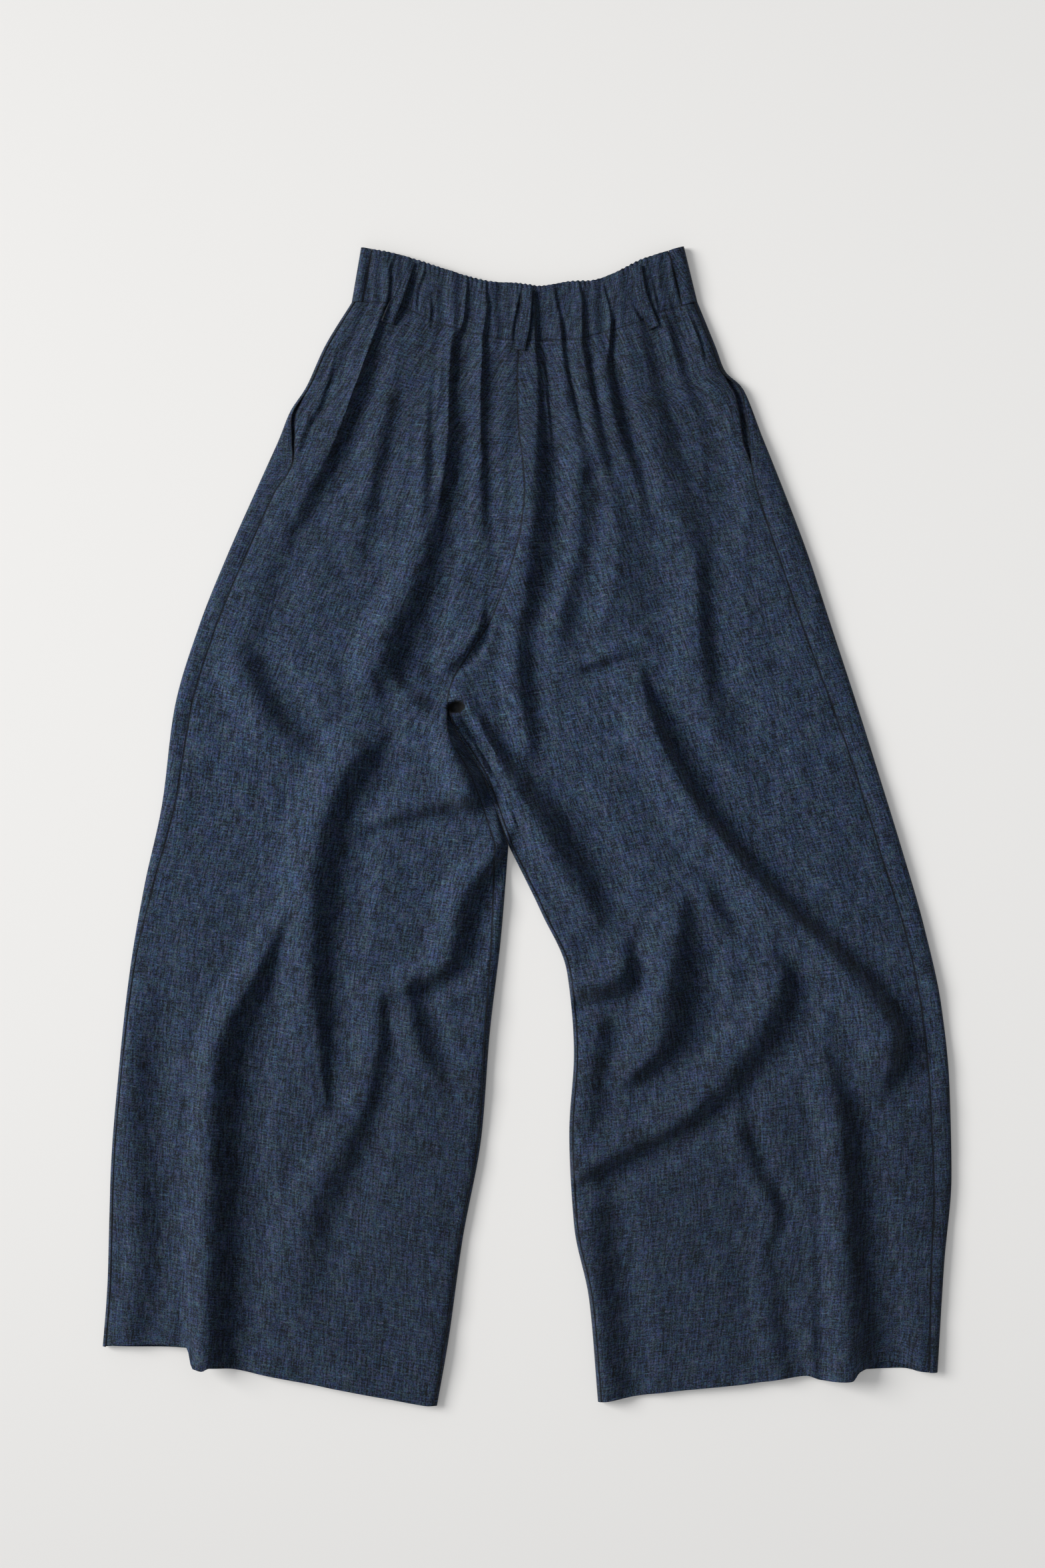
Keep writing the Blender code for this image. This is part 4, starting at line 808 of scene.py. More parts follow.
def cloth_piece(name, outer, cloth_uv, seam_uv, material, upward_at, thickness=CLOTH):
    """A thin cloth shell: a grid laid on the outer points, then given its thickness."""
    lines, columns = outer.shape[:2]
    bpy.ops.object.select_all(action="DESELECT")
    bpy.ops.mesh.primitive_grid_add(x_subdivisions=columns - 1, y_subdivisions=lines - 1, size=1.0)
    piece = bpy.context.object
    piece.name = name
    mesh = piece.data
    mesh.name = name
    mesh.vertices.foreach_set("co", (outer.reshape(-1, 3) * MM).ravel())
    corners = np.zeros(len(mesh.loops), dtype=np.int64)
    mesh.loops.foreach_get("vertex_index", corners)
    layer = mesh.uv_layers[0]
    layer.name = "cloth"
    layer.data.foreach_set("uv", (cloth_uv.reshape(-1, 2)[corners] * MM).ravel())
    seams = mesh.uv_layers.new(name="seam", do_init=False)
    seams.data.foreach_set("uv", (seam_uv.reshape(-1, 2)[corners] * MM).ravel())
    mesh.update()
    normals = np.zeros(len(mesh.vertices) * 3)
    mesh.vertices.foreach_get("normal", normals)
    normals = normals.reshape(lines, columns, 3)
    if normals[upward_at][2] < 0.0:
        bpy.ops.object.mode_set(mode="EDIT")
        bpy.ops.mesh.select_all(action="SELECT")
        bpy.ops.mesh.flip_normals()
        bpy.ops.object.mode_set(mode="OBJECT")
    wall = piece.modifiers.new("wall", "SOLIDIFY")
    wall.thickness = thickness * MM
    wall.offset = -1.0
    bpy.ops.object.modifier_apply(modifier=wall.name)
    bpy.ops.object.shade_smooth_by_angle(angle=math.radians(SMOOTH_ANGLE))
    mesh.materials.clear()
    mesh.materials.append(material)
    return piece


def seam_dip(distance):
    """How far a panel sinks beside a seam."""
    return SEAM_DIP * np.exp(-((distance / SEAM_DIP_REACH) ** 2))


def edge_maps(outer, along):
    """The cloth map and the seam map of a piece sewn along its first and last columns."""
    steps = np.linalg.norm(np.diff(outer, axis=1), axis=-1)
    arc = np.concatenate([np.zeros((len(outer), 1)), np.cumsum(steps, axis=1)], axis=1)
    along = np.repeat(along[:, None], outer.shape[1], axis=1)
    from_seam = np.minimum(arc, arc[:, -1:] - arc)
    return np.stack([arc, along], -1), np.stack([from_seam, along], -1)


def back_panel(name, leg, material):
    """The upper layer of one leg, from the outseam to the seat seam and inseam."""
    lines = leg.lines(PANEL_LINES)
    _, _, width = leg.line(lines)
    closed = leg.closed(lines)
    start = leg.side_values(lines, 2) + leg.side_values(lines, 3) - OUTER_GAP + SEAM_GAP
    end = width - closed * (leg.lip_in(lines) + SEAM_GAP)
    share = np.linspace(0.0, 1.0, PANEL_COLUMNS)
    distance = start[:, None] + (end - start)[:, None] * share[None, :]
    row = np.repeat(lines[:, None], PANEL_COLUMNS, axis=1)
    outer = leg.top(row, distance)
    dip = seam_dip(distance - start[:, None]) + seam_dip(end[:, None] - distance)
    length = leg.length_to(lines)
    dip = dip + seam_dip(length)[:, None]
    outer[..., 2] -= dip * smooth_step(*DIP_HEIGHTS, outer[..., 2])
    down = np.repeat(length[:, None], PANEL_COLUMNS, axis=1)
    uv = np.stack([distance, down], -1)
    from_seam = np.minimum(distance - start[:, None], end[:, None] - distance)
    seam_uv = np.stack([from_seam, down], -1)
    upward_at = (PANEL_LINES // 8, PANEL_COLUMNS // 2)
    return cloth_piece(name, outer, uv, seam_uv, material, upward_at)


def front_panel(name, leg, material):
    """The lower layer of one leg, turned up at both sides to meet the back."""
    lines = leg.lines(FRONT_LINES)
    _, _, width = leg.line(lines)
    closed = leg.closed(lines)
    lip_out = leg.side_values(lines, 2)
    lip_in = leg.lip_in(lines)
    columns = []

    def on_top(distance):
        point = leg.top(lines, distance, 1)
        dip = seam_dip(lip_out - distance) * smooth_step(*DIP_LIP_WIDTHS, lip_out)
        point[:, 2] -= dip * smooth_step(*DIP_HEIGHTS, point[:, 2])
        columns.append(point)

    def on_floor(distance, height):
        place = leg.plan(lines, distance, 1)
        columns.append(np.concatenate([place, height[:, None]], -1))

    one = np.ones(len(lines))
    for k in range(FRONT_LIP_COLUMNS):
        on_top(lip_out * (1.0 - math.sin(0.5 * math.pi * k / FRONT_LIP_COLUMNS)))
    for k in range(FRONT_TURN_COLUMNS + 1):
        angle = -0.5 * math.pi * k / FRONT_TURN_COLUMNS
        height = TURN_MIDDLE * (1.0 + math.sin(angle))
        on_floor(TURN_REACH * (1.0 - math.cos(angle)) * one, height * one)
    inner_start = width - TURN_REACH
    for k in range(1, FRONT_FLOOR_COLUMNS + 1):
        distance = TURN_REACH + (inner_start - TURN_REACH) * k / FRONT_FLOOR_COLUMNS
        on_floor(distance, 0.0 * one)
    steps = 2 * FRONT_TURN_COLUMNS
    for k in range(1, steps + 1):
        share = k / steps
        if share <= 0.5:
            angle = -0.5 * math.pi * (1.0 - 2.0 * share)
            distance = width - TURN_REACH * (1.0 - math.cos(angle))
            height = TURN_MIDDLE * (1.0 + math.sin(angle)) * one
        else:
            distance = width - lip_in * (2.0 * share - 1.0) ** 2
            height = leg.top(lines, distance, 1)[:, 2]
        folded = FOLDED_HEIGHT * smooth_step(*FOLDED_SHARES, share)
        on_floor(distance, folded + (height - folded) * closed)
    outer = np.stack(columns, axis=1)
    uv, seam_uv = edge_maps(outer, leg.length_to(lines))
    return cloth_piece(name, outer, uv, seam_uv, material, (FRONT_LINES // 2, 2))


def band_width(up):
    """Width of the band at a share of the way up."""
    low = WAIST_SEAM[-1][0] - WAIST_SEAM[0][0]
    return low + (BAND_RIGHT_TOP - BAND_LEFT_TOP - low) * up


def band_plan(across, up):
    """Place on the page of a point of the waistband."""
    low_x = WAIST_SEAM[0][0] + (WAIST_SEAM[-1][0] - WAIST_SEAM[0][0]) * across
    high_x = BAND_LEFT_TOP + (BAND_RIGHT_TOP - BAND_LEFT_TOP) * across
    low_y = waist_y(low_x) + SEAM_GAP
    high_y = through(column(BAND_TOP, 0), column(BAND_TOP, 1), high_x)
    return np.stack([low_x + (high_x - low_x) * up, low_y + (high_y - low_y) * up], -1)


def band_top(across, up):
    """A point of the outer side of the band's upper layer."""
    place = band_plan(across, up)
    width = band_width(up)
    turn = turn_share(across * width) * turn_share((1.0 - across) * width)
    height = upper_height(place[..., 0], place[..., 1])
    height = TURN_MIDDLE + (height - TURN_MIDDLE) * turn
    return np.concatenate([place, height[..., None]], -1)


def waistband_back(name, material):
    """The gathered casing that holds the elastic."""
    up = np.repeat(np.linspace(0.0, 1.0, BAND_LINES)[:, None], BAND_COLUMNS, axis=1)
    width = band_width(up)
    start = (BAND_LEFT_SEAM + SEAM_GAP) / width
    end = 1.0 - (BAND_RIGHT_SEAM + SEAM_GAP) / width
    share = np.linspace(0.0, 1.0, BAND_COLUMNS)[None, :]
    across = start + (end - start) * share
    outer = band_top(across, up)
    side = np.minimum(across - start, end - across) * width
    outer[..., 2] -= seam_dip(side) + BAND_WAIST_DIP * seam_dip(up * BAND_HEIGHT)
    outer[..., 2] -= seam_dip((1.0 - up) * BAND_TOP_DIP_SPREAD)
    phase = 2.0 * np.pi * RUFFLES * across + RUFFLE_DRIFT * np.sin(RUFFLE_DRIFT_RATE * across)
    ruffle = RUFFLE_MEAN + RUFFLE_SWELL * np.sin(RUFFLE_SWELL_RATE * across)
    ruffle = ruffle * tail(np.clip((1.0 - up) / RUFFLE_REACH, 0.0, 1.0))
    ruffle = ruffle * smooth_step(0.0, RUFFLE_SIDE_FADE, side)
    outer[..., 2] += RUFFLE_HEIGHT * ruffle * np.cos(phase)
    outer[..., 1] += RUFFLE_RISE * ruffle * np.cos(phase)
    uv = np.stack([across * width * BAND_GATHERED_IN, up * BAND_HEIGHT], -1)
    seam_uv = np.stack([side, up * BAND_HEIGHT], -1)
    return cloth_piece(name, outer, uv, seam_uv, material, (BAND_LINES // 2, BAND_COLUMNS // 2))


def front_band_height(across):
    """Height of the front of the band against its back, lower in the middle."""
    from_side = np.minimum(across, 1.0 - across)
    return 1.0 - FRONT_BAND_DIP * smooth_step(FRONT_BAND_DIP_STARTS, FRONT_BAND_DIP_FULL, from_side)


def waistband_front(name, material):
    """The flat front of the band, turned up over both sides."""
    levels = np.linspace(0.0, 1.0, BAND_LINES)
    width = band_width(levels)
    one = np.ones(len(levels))
    columns = []

    def on_floor(distance, angle):
        place = band_plan(distance / width, levels * front_band_height(distance / width))
        height = TURN_MIDDLE * (1.0 + math.sin(angle)) * one
        columns.append(np.concatenate([place, height[:, None]], -1))

    for k in range(FRONT_LIP_COLUMNS):
        distance = BAND_LEFT_SEAM * (1.0 - math.sin(0.5 * math.pi * k / FRONT_LIP_COLUMNS))
        point = band_top(distance / width, levels)
        point[:, 2] -= seam_dip(BAND_LEFT_SEAM - distance)
        columns.append(point)
    for k in range(FRONT_TURN_COLUMNS + 1):
        angle = -0.5 * math.pi * k / FRONT_TURN_COLUMNS
        on_floor(TURN_REACH * (1.0 - math.cos(angle)) * one, angle)
    for k in range(1, FRONT_FLOOR_COLUMNS):
        on_floor(TURN_REACH + (width - 2.0 * TURN_REACH) * k / FRONT_FLOOR_COLUMNS, -0.5 * math.pi)
    for k in range(FRONT_TURN_COLUMNS, -1, -1):
        angle = -0.5 * math.pi * k / FRONT_TURN_COLUMNS
        on_floor(width - TURN_REACH * (1.0 - math.cos(angle)), angle)
    for k in range(1, FRONT_LIP_COLUMNS + 1):
        distance = BAND_RIGHT_SEAM * (1.0 - math.cos(0.5 * math.pi * k / FRONT_LIP_COLUMNS))
        point = band_top((width - distance) / width, levels)
        point[:, 2] -= seam_dip(BAND_RIGHT_SEAM - distance)
        columns.append(point)
    outer = np.stack(columns, axis=1)
    uv, seam_uv = edge_maps(outer, levels * BAND_HEIGHT)
    return cloth_piece(name, outer, uv, seam_uv, material, (BAND_LINES // 2, 1))


def belt_loop(name, top_end, middle, low_end, material):
    """A narrow strip that lies on the gathers, sewn down at both ends."""
    steps = np.linspace(0.0, 1.0, LOOP_LINES)
    knots = (0.0, 0.5, 1.0)
    x = through(knots, (top_end[0], middle[0], low_end[0]), steps)
    y = through(knots, (top_end[1], middle[1], low_end[1]), steps)
    along = np.stack([np.gradient(x), np.gradient(y)], -1)
    along = along / np.linalg.norm(along, axis=-1, keepdims=True)
    side = np.stack([-along[:, 1], along[:, 0]], -1)
    offsets = np.linspace(-0.5, 0.5, LOOP_COLUMNS) * LOOP_WIDTH
    outer = np.zeros((len(steps), len(offsets), 3))
    outer[..., 0] = x[:, None] + side[:, 0:1] * offsets[None, :]
    outer[..., 1] = y[:, None] + side[:, 1:2] * offsets[None, :]
    levels = np.zeros(outer.shape[:2])
    for reach_across in np.linspace(-LOOP_REACH_ACROSS, LOOP_REACH_ACROSS, LOOP_PROBES):
        for reach_along in np.linspace(-LOOP_REACH_ALONG, LOOP_REACH_ALONG, LOOP_PROBES):
            under_x = outer[..., 0] + side[:, 0:1] * reach_across + along[:, 0:1] * reach_along
            under_y = outer[..., 1] + side[:, 1:2] * reach_across + along[:, 1:2] * reach_along
            levels = np.maximum(levels, upper_height(under_x, under_y))
    bridging = LOOP_BRIDGING * np.sin(np.pi * steps)[:, None]
    levels = levels + (levels.max(axis=1, keepdims=True) - levels) * bridging
    arch = LOOP_ARCH * np.sin(np.pi * steps)[:, None]
    crown = LOOP_CROWN * (1.0 - (2.0 * offsets / LOOP_WIDTH) ** 4)[None, :]
    outer[..., 2] = levels + LOOP_CLEARANCE + arch + LOOP_THICKNESS + crown
    across = np.repeat(offsets[None, :], len(steps), axis=0)
    down = np.repeat(steps[:, None], len(offsets), axis=1)
    length = np.hypot(np.diff(x), np.diff(y)).sum()
    # The seam map darkens both long edges and the lower end of a loop: partly its stitching, partly
    # painted shadow
    from_edge = np.stack([0.5 * LOOP_WIDTH - np.abs(across), (1.0 - down) * length], -1)
    upward_at = (LOOP_LINES // 2, LOOP_COLUMNS // 2)
    return cloth_piece(
        name, outer, np.stack([across, down * LOOP_LENGTH], -1), from_edge + LOOP_EDGE_LINE,
        material, upward_at, LOOP_THICKNESS)


def pocket_facing(name, leg, mouth_rows, material):
    """The strip of cloth inside a pocket that shows in its mouth."""
    rows = np.linspace(*mouth_rows, FACING_LINES)
    lip = leg.side_values(rows, 2)
    mouth_end = lip + leg.side_values(rows, 3)
    start = np.maximum(lip - FACING_UNDER_FRONT, FACING_FROM_SIDE)
    end = mouth_end + FACING_UNDER_BACK
    share = np.linspace(0.0, 1.0, FACING_COLUMNS)
    distance = start[:, None] + (end - start)[:, None] * share[None, :]
    row = np.repeat(rows[:, None], FACING_COLUMNS, axis=1)
    outer = leg.top(row, distance)
    middle = 0.5 * (lip + mouth_end)
    reach = 0.5 * (mouth_end - lip) + FACING_SINK_SPREAD
    sunk = tail(np.clip(np.abs(distance - middle[:, None]) / reach[:, None], 0.0, 1.0))
    outer[..., 2] -= FACING_LEVEL + POCKET_DEPTH * sunk
    uv = np.stack([distance, row * FACING_ROW_LENGTH], -1)
    upward_at = (FACING_LINES // 2, FACING_COLUMNS // 2)
    return cloth_piece(name, outer, uv, np.full(uv.shape, NO_SEAM), material, upward_at)


# Seam lines, partly stitching and partly painted shade of the seam's crease: where the shade starts
# to lift and is gone, in millimetres from the edge, and the share of the tone left in a seam along a
# piece and in one across it
SEAM_LINE = (0.4, 1.3)
SEAM_DARK_ALONG = 0.28
SEAM_DARK_ACROSS = 0.6

# Painted shade in the hole: where it starts to lift and is gone, against the hole's edge, and the
# share of the tone left inside
HOLE_EDGE = (0.72, 0.95)
HOLE_PAINTED_DARK = 0.05

# Painted light falloff, in metres on the trousers: the lighter thighs and the change across
THIGH_MIDDLE = 0.08
THIGH_REACH = 0.42
THIGH_PAINTED_LIGHT = 0.32
FALLOFF_LEAST = 0.89
FALLOFF_ACROSS = -0.17

# Noise on the cloth: waves per metre across and along the cloth, detail, roughness
NOISES = {
    "warp": (640.0, 60.0, 2.0, 0.7),
    "weft": (70.0, 620.0, 2.0, 0.7),
    "grain": (700.0, 700.0, 2.0, 0.7),
    "mottle": (130.0, 30.0, 3.0, 0.6),
    "hue": (420.0, 330.0, 2.0, 0.7),
    "hue_patch": (110.0, 45.0, 3.0, 0.6),
    "green": (350.0, 440.0, 2.0, 0.7),
    "green_patch": (60.0, 90.0, 3.0, 0.6),
    "slub": (90.0, 560.0, 1.0, 0.5),
    "warp_slub": (560.0, 80.0, 1.0, 0.5),
    "fleck": (460.0, 240.0, 1.0, 0.5),
    "knot": (330.0, 250.0, 1.0, 0.5),
    "crumple": (60.0, 34.0, 3.0, 0.55),
}

# Thick and dark places of the yarn: the noise where each starts and where it is full
SPOTS = {
    "slub": (0.15, 0.25),
    "warp_slub": (0.18, 0.27),
    "fleck": (0.17, 0.26),
    "knot": (0.20, 0.26),
}

# How much each noise or spot changes the tone, the two hues and the relief
TONE_WEIGHTS = (
    ("warp", 4.9),
    ("weft", 3.2),
    ("grain", 6.0),
    ("mottle", 1.5),
    ("slub", 1.5),
    ("warp_slub", 0.8),
    ("fleck", -0.7),
    ("knot", -0.9),
)
HUE_WEIGHTS = (("hue", 1.0), ("hue_patch", 0.45))
GREEN_WEIGHTS = (("green", 1.0), ("green_patch", 0.5))
RELIEF_WEIGHTS = (("warp", 0.14), ("weft", 0.14), ("slub", 0.08), ("crumple", 1.1))

# Dye and yarn: the least tone, half the noise over which a hue changes, the tones
# of the dark and the light yarn, and the colours
TONE_LEAST = 0.12
HUE_CHANGE = 0.12
YARN_TONES = (0.1, 2.1)
BLUE = (0.0106, 0.0245, 0.0568, 1.0)
GREY = (0.0148, 0.0245, 0.0404, 1.0)
DARK_YARN = (0.67, 0.93, 1.10, 1.0)
LIGHT_YARN = (1.26, 1.03, 0.93, 1.0)
GREEN_YARN = (0.925, 1.17, 0.925, 1.0)
VIOLET_YARN = (1.08, 0.855, 1.08, 1.0)
LINEN_ROUGHNESS = 0.85
LINEN_SPECULAR = 0.25
LINEN_SHEEN = 0.06


class Shader:
    """Short ways to add nodes to one material."""

    def __init__(self, name):
        self.material = bpy.data.materials.new(name)
        self.material.use_nodes = True
        self.nodes = self.material.node_tree.nodes
        self.links = self.material.node_tree.links
        self.surface = self.nodes["Principled BSDF"]

    def feed(self, node, inputs):
        """Sets a node's inputs, or links those whose value is a socket."""
        for key, value in inputs.items():
            if isinstance(value, bpy.types.NodeSocket):
                self.links.new(value, node.inputs[key])
            else:
                node.inputs[key].default_value = value

    def node(self, kind, inputs):
        """A new node with its inputs set or linked."""
        added = self.nodes.new(kind)
        self.feed(added, inputs)
        return added

    def math(self, operation, first, second=0.0):
        """One step of arithmetic."""
        added = self.nodes.new("ShaderNodeMath")
        added.operation = operation
        self.feed(added, {0: first, 1: second})
        return added.outputs[0]

    def vector_math(self, operation, inputs):
        """One step of arithmetic on vectors or colours."""
        added = self.nodes.new("ShaderNodeVectorMath")
        added.operation = operation
        self.feed(added, inputs)
        return added

    def sum_of(self, start, layers, weights):
        """A start value with each named layer added, times its weight."""
        total = start
        for layer, weight in weights:
            total = self.math("ADD", self.math("MULTIPLY", layers[layer], weight), total)
        return total

    def above(self, value, low, high):
        """A soft change from 0 where the value is at low to 1 where it is at high."""
        added = self.nodes.new("ShaderNodeMapRange")
        added.interpolation_type = "SMOOTHSTEP"
        self.feed(added, {"Value": value, "From Min": low, "From Max": high})
        return added.outputs["Result"]

    def from_least(self, least, share):
        """The least value where the share is 0, and 1 where it is 1."""
        return self.math("ADD", self.math("MULTIPLY", share, 1.0 - least), least)

    def mix(self, share, first, second):
        """A mix of two colours."""
        added = self.nodes.new("ShaderNodeMix")
        added.data_type = "RGBA"
        self.feed(added, {0: share, 6: first, 7: second})
        return added.outputs[2]

    def tinted(self, colour, tint):
        """A colour times another, channel by channel."""
        return self.vector_math("MULTIPLY", {0: colour, 1: tint}).outputs[0]

    def brighten(self, colour, factor):
        """A colour times a changing factor."""
        return self.vector_math("SCALE", {0: colour, "Scale": factor}).outputs[0]

    def own_map(self, name):
        """A place on one of the piece's own UV maps."""
        mapped = self.nodes.new("ShaderNodeUVMap")
        mapped.uv_map = name
        return mapped.outputs["UV"]

    def object_place(self):
        """X and Y of a place on the object, in metres."""
        place = self.nodes.new("ShaderNodeTexCoord").outputs["Object"]
        parts = self.node("ShaderNodeSeparateXYZ", {0: place})
        return parts.outputs["X"], parts.outputs["Y"]

    def noise(self, across, along, detail, roughness):
        """Noise on the cloth's own map, spread about half a unit either way from zero."""
        mapping = {"Vector": self.own_map("cloth"), "Scale": (across, along, 1.0)}
        place = self.node("ShaderNodeMapping", mapping).outputs["Vector"]
        added = self.node("ShaderNodeTexNoise", {
            "Vector": place, "Scale": 1.0, "Detail": detail, "Roughness": roughness})
        return self.math("SUBTRACT", added.outputs["Fac"], 0.5)

    def seam_shade(self):
        """The dark line of a seam, partly painted shade of its crease: 1 on the cloth, lower in the
        turned edge.
        """
        parts = self.node("ShaderNodeSeparateXYZ", {0: self.own_map("seam")}).outputs
        low, high = SEAM_LINE
        beside = self.from_least(SEAM_DARK_ALONG, self.above(parts["X"], low * MM, high * MM))
        under = self.from_least(SEAM_DARK_ACROSS, self.above(parts["Y"], low * MM, high * MM))
        return self.math("MULTIPLY", beside, under)

    def painted_hole_shade(self):
        """Painted shade that darkens the inside of the puckered hole under the seat seam."""
        mapping = self.nodes.new("ShaderNodeMapping")
        mapping.vector_type = "TEXTURE"
        self.feed(mapping, {
            "Vector": self.nodes.new("ShaderNodeTexCoord").outputs["Object"],
            "Location": (HOLE_MIDDLE[0] * MM, HOLE_MIDDLE[1] * MM, 0.0),
            "Rotation": (0.0, 0.0, math.radians(HOLE_TURN)),
            "Scale": (HOLE_HALVES[0] * MM, HOLE_HALVES[1] * MM, 1.0),
        })
        length = self.vector_math("LENGTH", {0: mapping.outputs["Vector"]})
        return self.from_least(HOLE_PAINTED_DARK, self.above(length.outputs["Value"], *HOLE_EDGE))

    def painted_light_falloff(self):
        """Painted light falloff: a little lighter over the thighs, darker to the hems and towards the
        right.
        """
        x, y = self.object_place()
        from_thigh = self.math("ABSOLUTE", self.math("SUBTRACT", y, THIGH_MIDDLE))
        layers = {"thigh": self.above(from_thigh, THIGH_REACH, 0.0), "across": x}
        return self.sum_of(FALLOFF_LEAST, layers, (("thigh", THIGH_PAINTED_LIGHT), ("across", FALLOFF_ACROSS)))


def linen(name, lift):
    """Slubby indigo linen: dark and light yarns, thick slubs and dark flecks."""
    shader = Shader(name)
    layers = {layer: shader.noise(*numbers) for layer, numbers in NOISES.items()}
    for layer, (low, high) in SPOTS.items():
        layers[layer] = shader.above(layers[layer], low, high)
    tone = shader.sum_of(1.0, layers, TONE_WEIGHTS)
    tone = shader.math("MAXIMUM", tone, TONE_LEAST)
    hue = shader.above(shader.sum_of(0.0, layers, HUE_WEIGHTS), -HUE_CHANGE, HUE_CHANGE)
    green = shader.above(shader.sum_of(0.0, layers, GREEN_WEIGHTS), -HUE_CHANGE, HUE_CHANGE)
    colour = shader.tinted(shader.mix(hue, BLUE, GREY), shader.mix(green, GREEN_YARN, VIOLET_YARN))
    yarn = shader.mix(shader.above(tone, *YARN_TONES), DARK_YARN, LIGHT_YARN)
    colour = shader.tinted(colour, yarn)
    # The tone takes the painted light falloff, times the linen's lift
    tone = shader.math("MULTIPLY", tone, shader.math("MULTIPLY", shader.painted_light_falloff(), lift))
    # Seam lines, partly painted shade, and the painted shade inside the hole darken the colour
    seam_lines_and_painted_shade = shader.math("MULTIPLY", shader.seam_shade(), shader.painted_hole_shade())
    colour = shader.brighten(colour, shader.math("MULTIPLY", tone, seam_lines_and_painted_shade))
    relief = shader.sum_of(0.0, layers, RELIEF_WEIGHTS)
    bump = shader.node("ShaderNodeBump", {"Height": relief, "Distance": MM, "Strength": 1.0})
    shader.feed(shader.surface, {
        "Base Color": colour,
        "Roughness": LINEN_ROUGHNESS,
        "Specular IOR Level": LINEN_SPECULAR,
        "Sheen Weight": LINEN_SHEEN,
        "Normal": bump.outputs["Normal"],
    })
    return shader.material


linen_back = linen("linen_back_cloth", 1.0)
linen_front = linen("linen_front_cloth", 0.97)
linen_band = linen("linen_band_cloth", 1.05)
linen_loop = linen("linen_loop_cloth", 1.05)
# The facings' lift of 0.6 is painted shade of the deep pocket mouths
shaded_linen_facing = linen("linen_facing_painted_shade_cloth", 0.6)


def settle(piece, node):
    """Ties a cloth piece to the part's root body and hides the part's own mesh of that node."""
    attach(piece, "root")
    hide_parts(node)


left_back = back_panel("left_back_panel", LEFT_LEG, linen_back)
right_back = back_panel("right_back_panel", RIGHT_LEG, linen_back)
left_front = front_panel("left_front_panel", LEFT_LEG, linen_front)
right_front = front_panel("right_front_panel", RIGHT_LEG, linen_front)
band_back = waistband_back("band_back", linen_band)
band_front = waistband_front("band_front", linen_band)
left_facing = pocket_facing("left_pocket_facing", LEFT_LEG, LEFT_POCKET_ROWS, shaded_linen_facing)
right_facing = pocket_facing("right_pocket_facing", RIGHT_LEG, RIGHT_POCKET_ROWS, shaded_linen_facing)

settle(left_front, "front_panel_left")
settle(right_front, "front_panel_right")
settle(left_back, "back_panel_left")
settle(right_back, "back_panel_right")
settle(band_front, "waistband_front")
settle(band_back, "waistband_back")
settle(left_facing, "pocket_facing_left")
settle(right_facing, "pocket_facing_right")
for side, top_end, middle, low_end in BELT_LOOPS:
    loop = belt_loop(side + "_belt_loop", top_end, middle, low_end, linen_loop)
    settle(loop, "belt_loop_" + side)

# Floor and camera, in metres, with painted shade on the paper: darker towards its upper and lower
# ends, a little lighter to the right and upwards
FLOOR_SIZE = 8.0
FLOOR_LEVEL = -0.0006
CAMERA_HEIGHT = 2.744
CAMERA_LENS = 70.0
CAMERA_SENSOR = 36.0
FRAME_MIDDLE = (-0.0042, 0.0384)
PAPER_MIDDLE = 1.0
PAPER_ACROSS = 0.05
PAPER_ENDS = 0.14
PAPER_LEAST = 0.8
PAPER_ALONG = 0.03
PAPER_COLOUR = (0.668, 0.664, 0.656)
# The paper's glow is painted light: it lifts the floor's shadows like light bounced round a white
# studio
PAPER_PAINTED_GLOW_COLOUR = (1.0, 0.985, 0.955, 1.0)
PAPER_PAINTED_GLOW_STRENGTH = 0.155
PAPER_ROUGHNESS = 0.9
PAPER_SPECULAR = 0.1

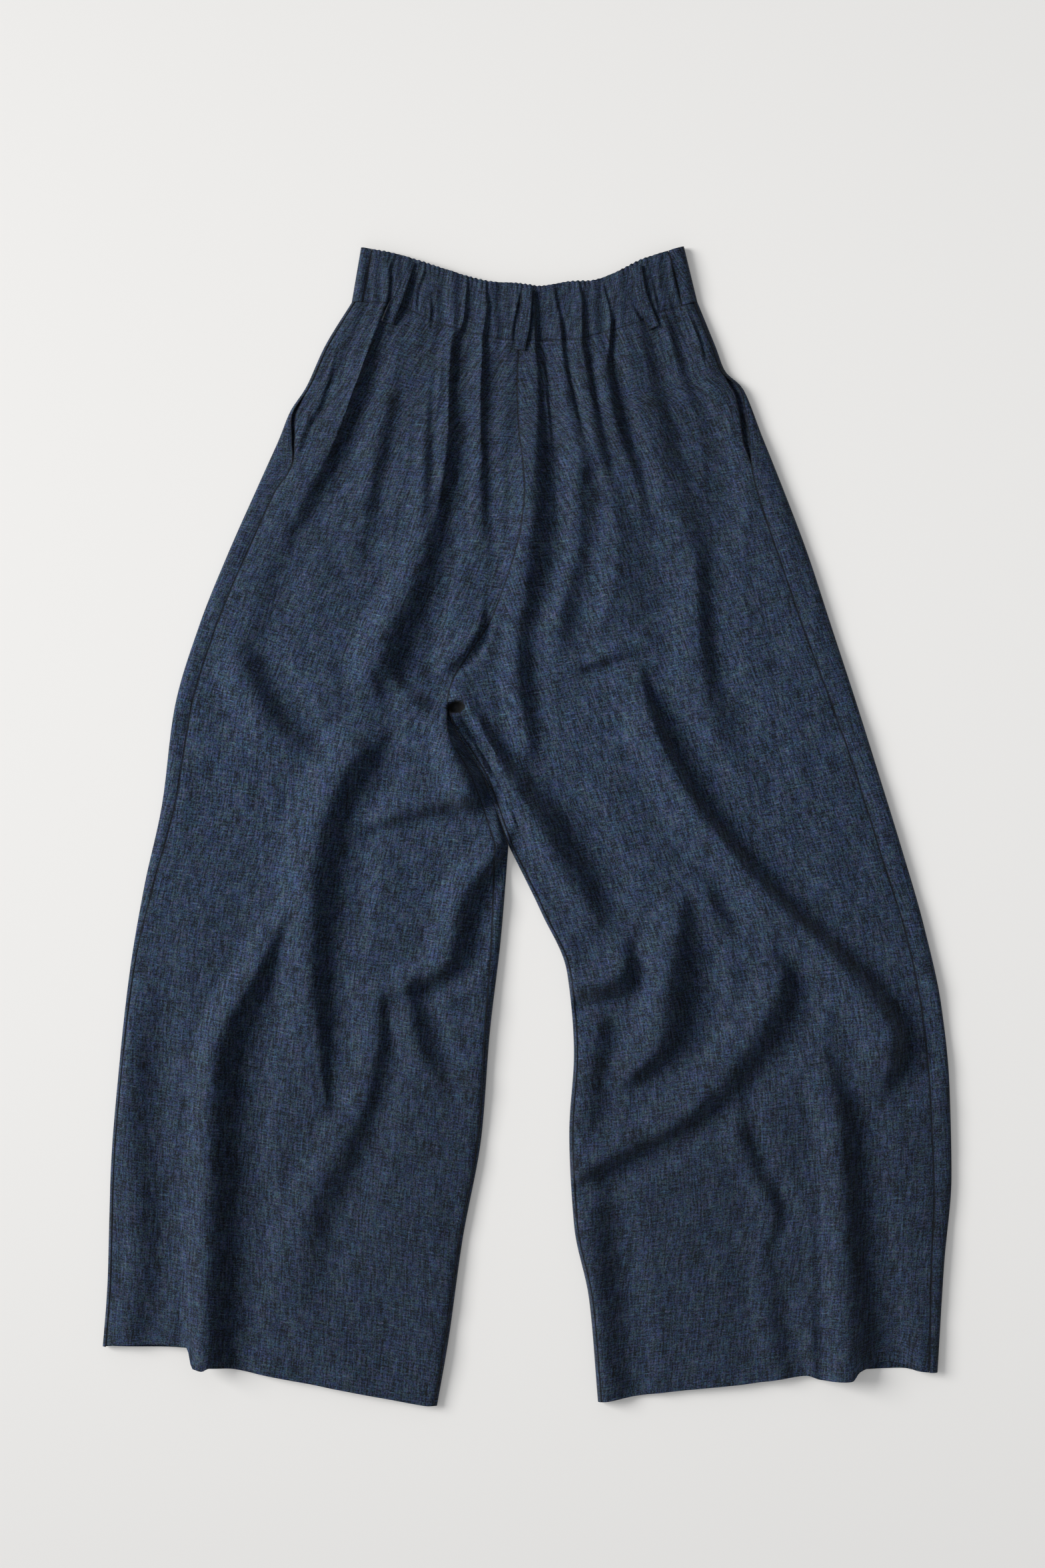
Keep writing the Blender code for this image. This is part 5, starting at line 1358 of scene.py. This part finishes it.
bpy.ops.object.select_all(action="DESELECT")
bpy.ops.mesh.primitive_plane_add(size=FLOOR_SIZE, location=(0.0, 0.0, FLOOR_LEVEL))
floor = bpy.context.object
floor.name = "floor"
bpy.ops.object.transform_apply(location=True, rotation=True, scale=True)
paper = Shader("floor_paper")
across, along = paper.object_place()
shades = {"across": across, "ends": paper.math("MULTIPLY", along, along), "along": along}
shade_weights = (("across", PAPER_ACROSS), ("ends", -PAPER_ENDS), ("along", PAPER_ALONG))
shade = paper.math("MAXIMUM", paper.sum_of(PAPER_MIDDLE, shades, shade_weights), PAPER_LEAST)
paper.feed(paper.surface, {
    "Base Color": paper.brighten(PAPER_COLOUR, shade),
    "Emission Color": PAPER_PAINTED_GLOW_COLOUR,
    "Emission Strength": PAPER_PAINTED_GLOW_STRENGTH,
    "Roughness": PAPER_ROUGHNESS,
    "Specular IOR Level": PAPER_SPECULAR,
})
floor.data.materials.append(paper.material)

scene = bpy.context.scene
camera_data = bpy.data.cameras.new("camera")
camera_data.lens = CAMERA_LENS
camera_data.sensor_width = CAMERA_SENSOR
camera = bpy.data.objects.new("camera", camera_data)
camera.location = (FRAME_MIDDLE[0], FRAME_MIDDLE[1], CAMERA_HEIGHT)
scene.collection.objects.link(camera)
scene.camera = camera
scene.view_settings.view_transform = "Standard"

# Light: a large window on the left, and a room that is brighter on that side
WINDOW_DIRECTION = (-0.90, 0.27, 0.60)
WINDOW_DISTANCE = 9.0
WINDOW_SIZE = 4.2
WINDOW_POWER = 1020.0
WINDOW_COLOUR = (1.0, 0.985, 0.965)
SKY_COLOUR = (0.95, 0.97, 1.0, 1.0)
SKY_STRENGTH = 0.385
SKY_LEAN = -0.75

window_data = bpy.data.lights.new("window", "AREA")
window_data.shape = "SQUARE"
window_data.size = WINDOW_SIZE
window_data.energy = WINDOW_POWER
window_data.color = WINDOW_COLOUR
window = bpy.data.objects.new("window", window_data)
toward = np.array(WINDOW_DIRECTION) / np.linalg.norm(WINDOW_DIRECTION)
window.location = toward * WINDOW_DISTANCE
aim = window.location.copy()
window.rotation_euler = aim.to_track_quat("Z", "Y").to_euler()
scene.collection.objects.link(window)

world = bpy.data.worlds.new("room")
world.use_nodes = True
sky = world.node_tree.nodes["Background"]
sky.inputs["Color"].default_value = SKY_COLOUR
outward = world.node_tree.nodes.new("ShaderNodeTexCoord")
outward_parts = world.node_tree.nodes.new("ShaderNodeSeparateXYZ")
lean = world.node_tree.nodes.new("ShaderNodeMath")
lean.operation = "MULTIPLY_ADD"
lean.inputs[1].default_value = SKY_LEAN * SKY_STRENGTH
lean.inputs[2].default_value = SKY_STRENGTH
world.node_tree.links.new(outward.outputs["Generated"], outward_parts.inputs[0])
world.node_tree.links.new(outward_parts.outputs["X"], lean.inputs[0])
world.node_tree.links.new(lean.outputs[0], sky.inputs["Strength"])
scene.world = world
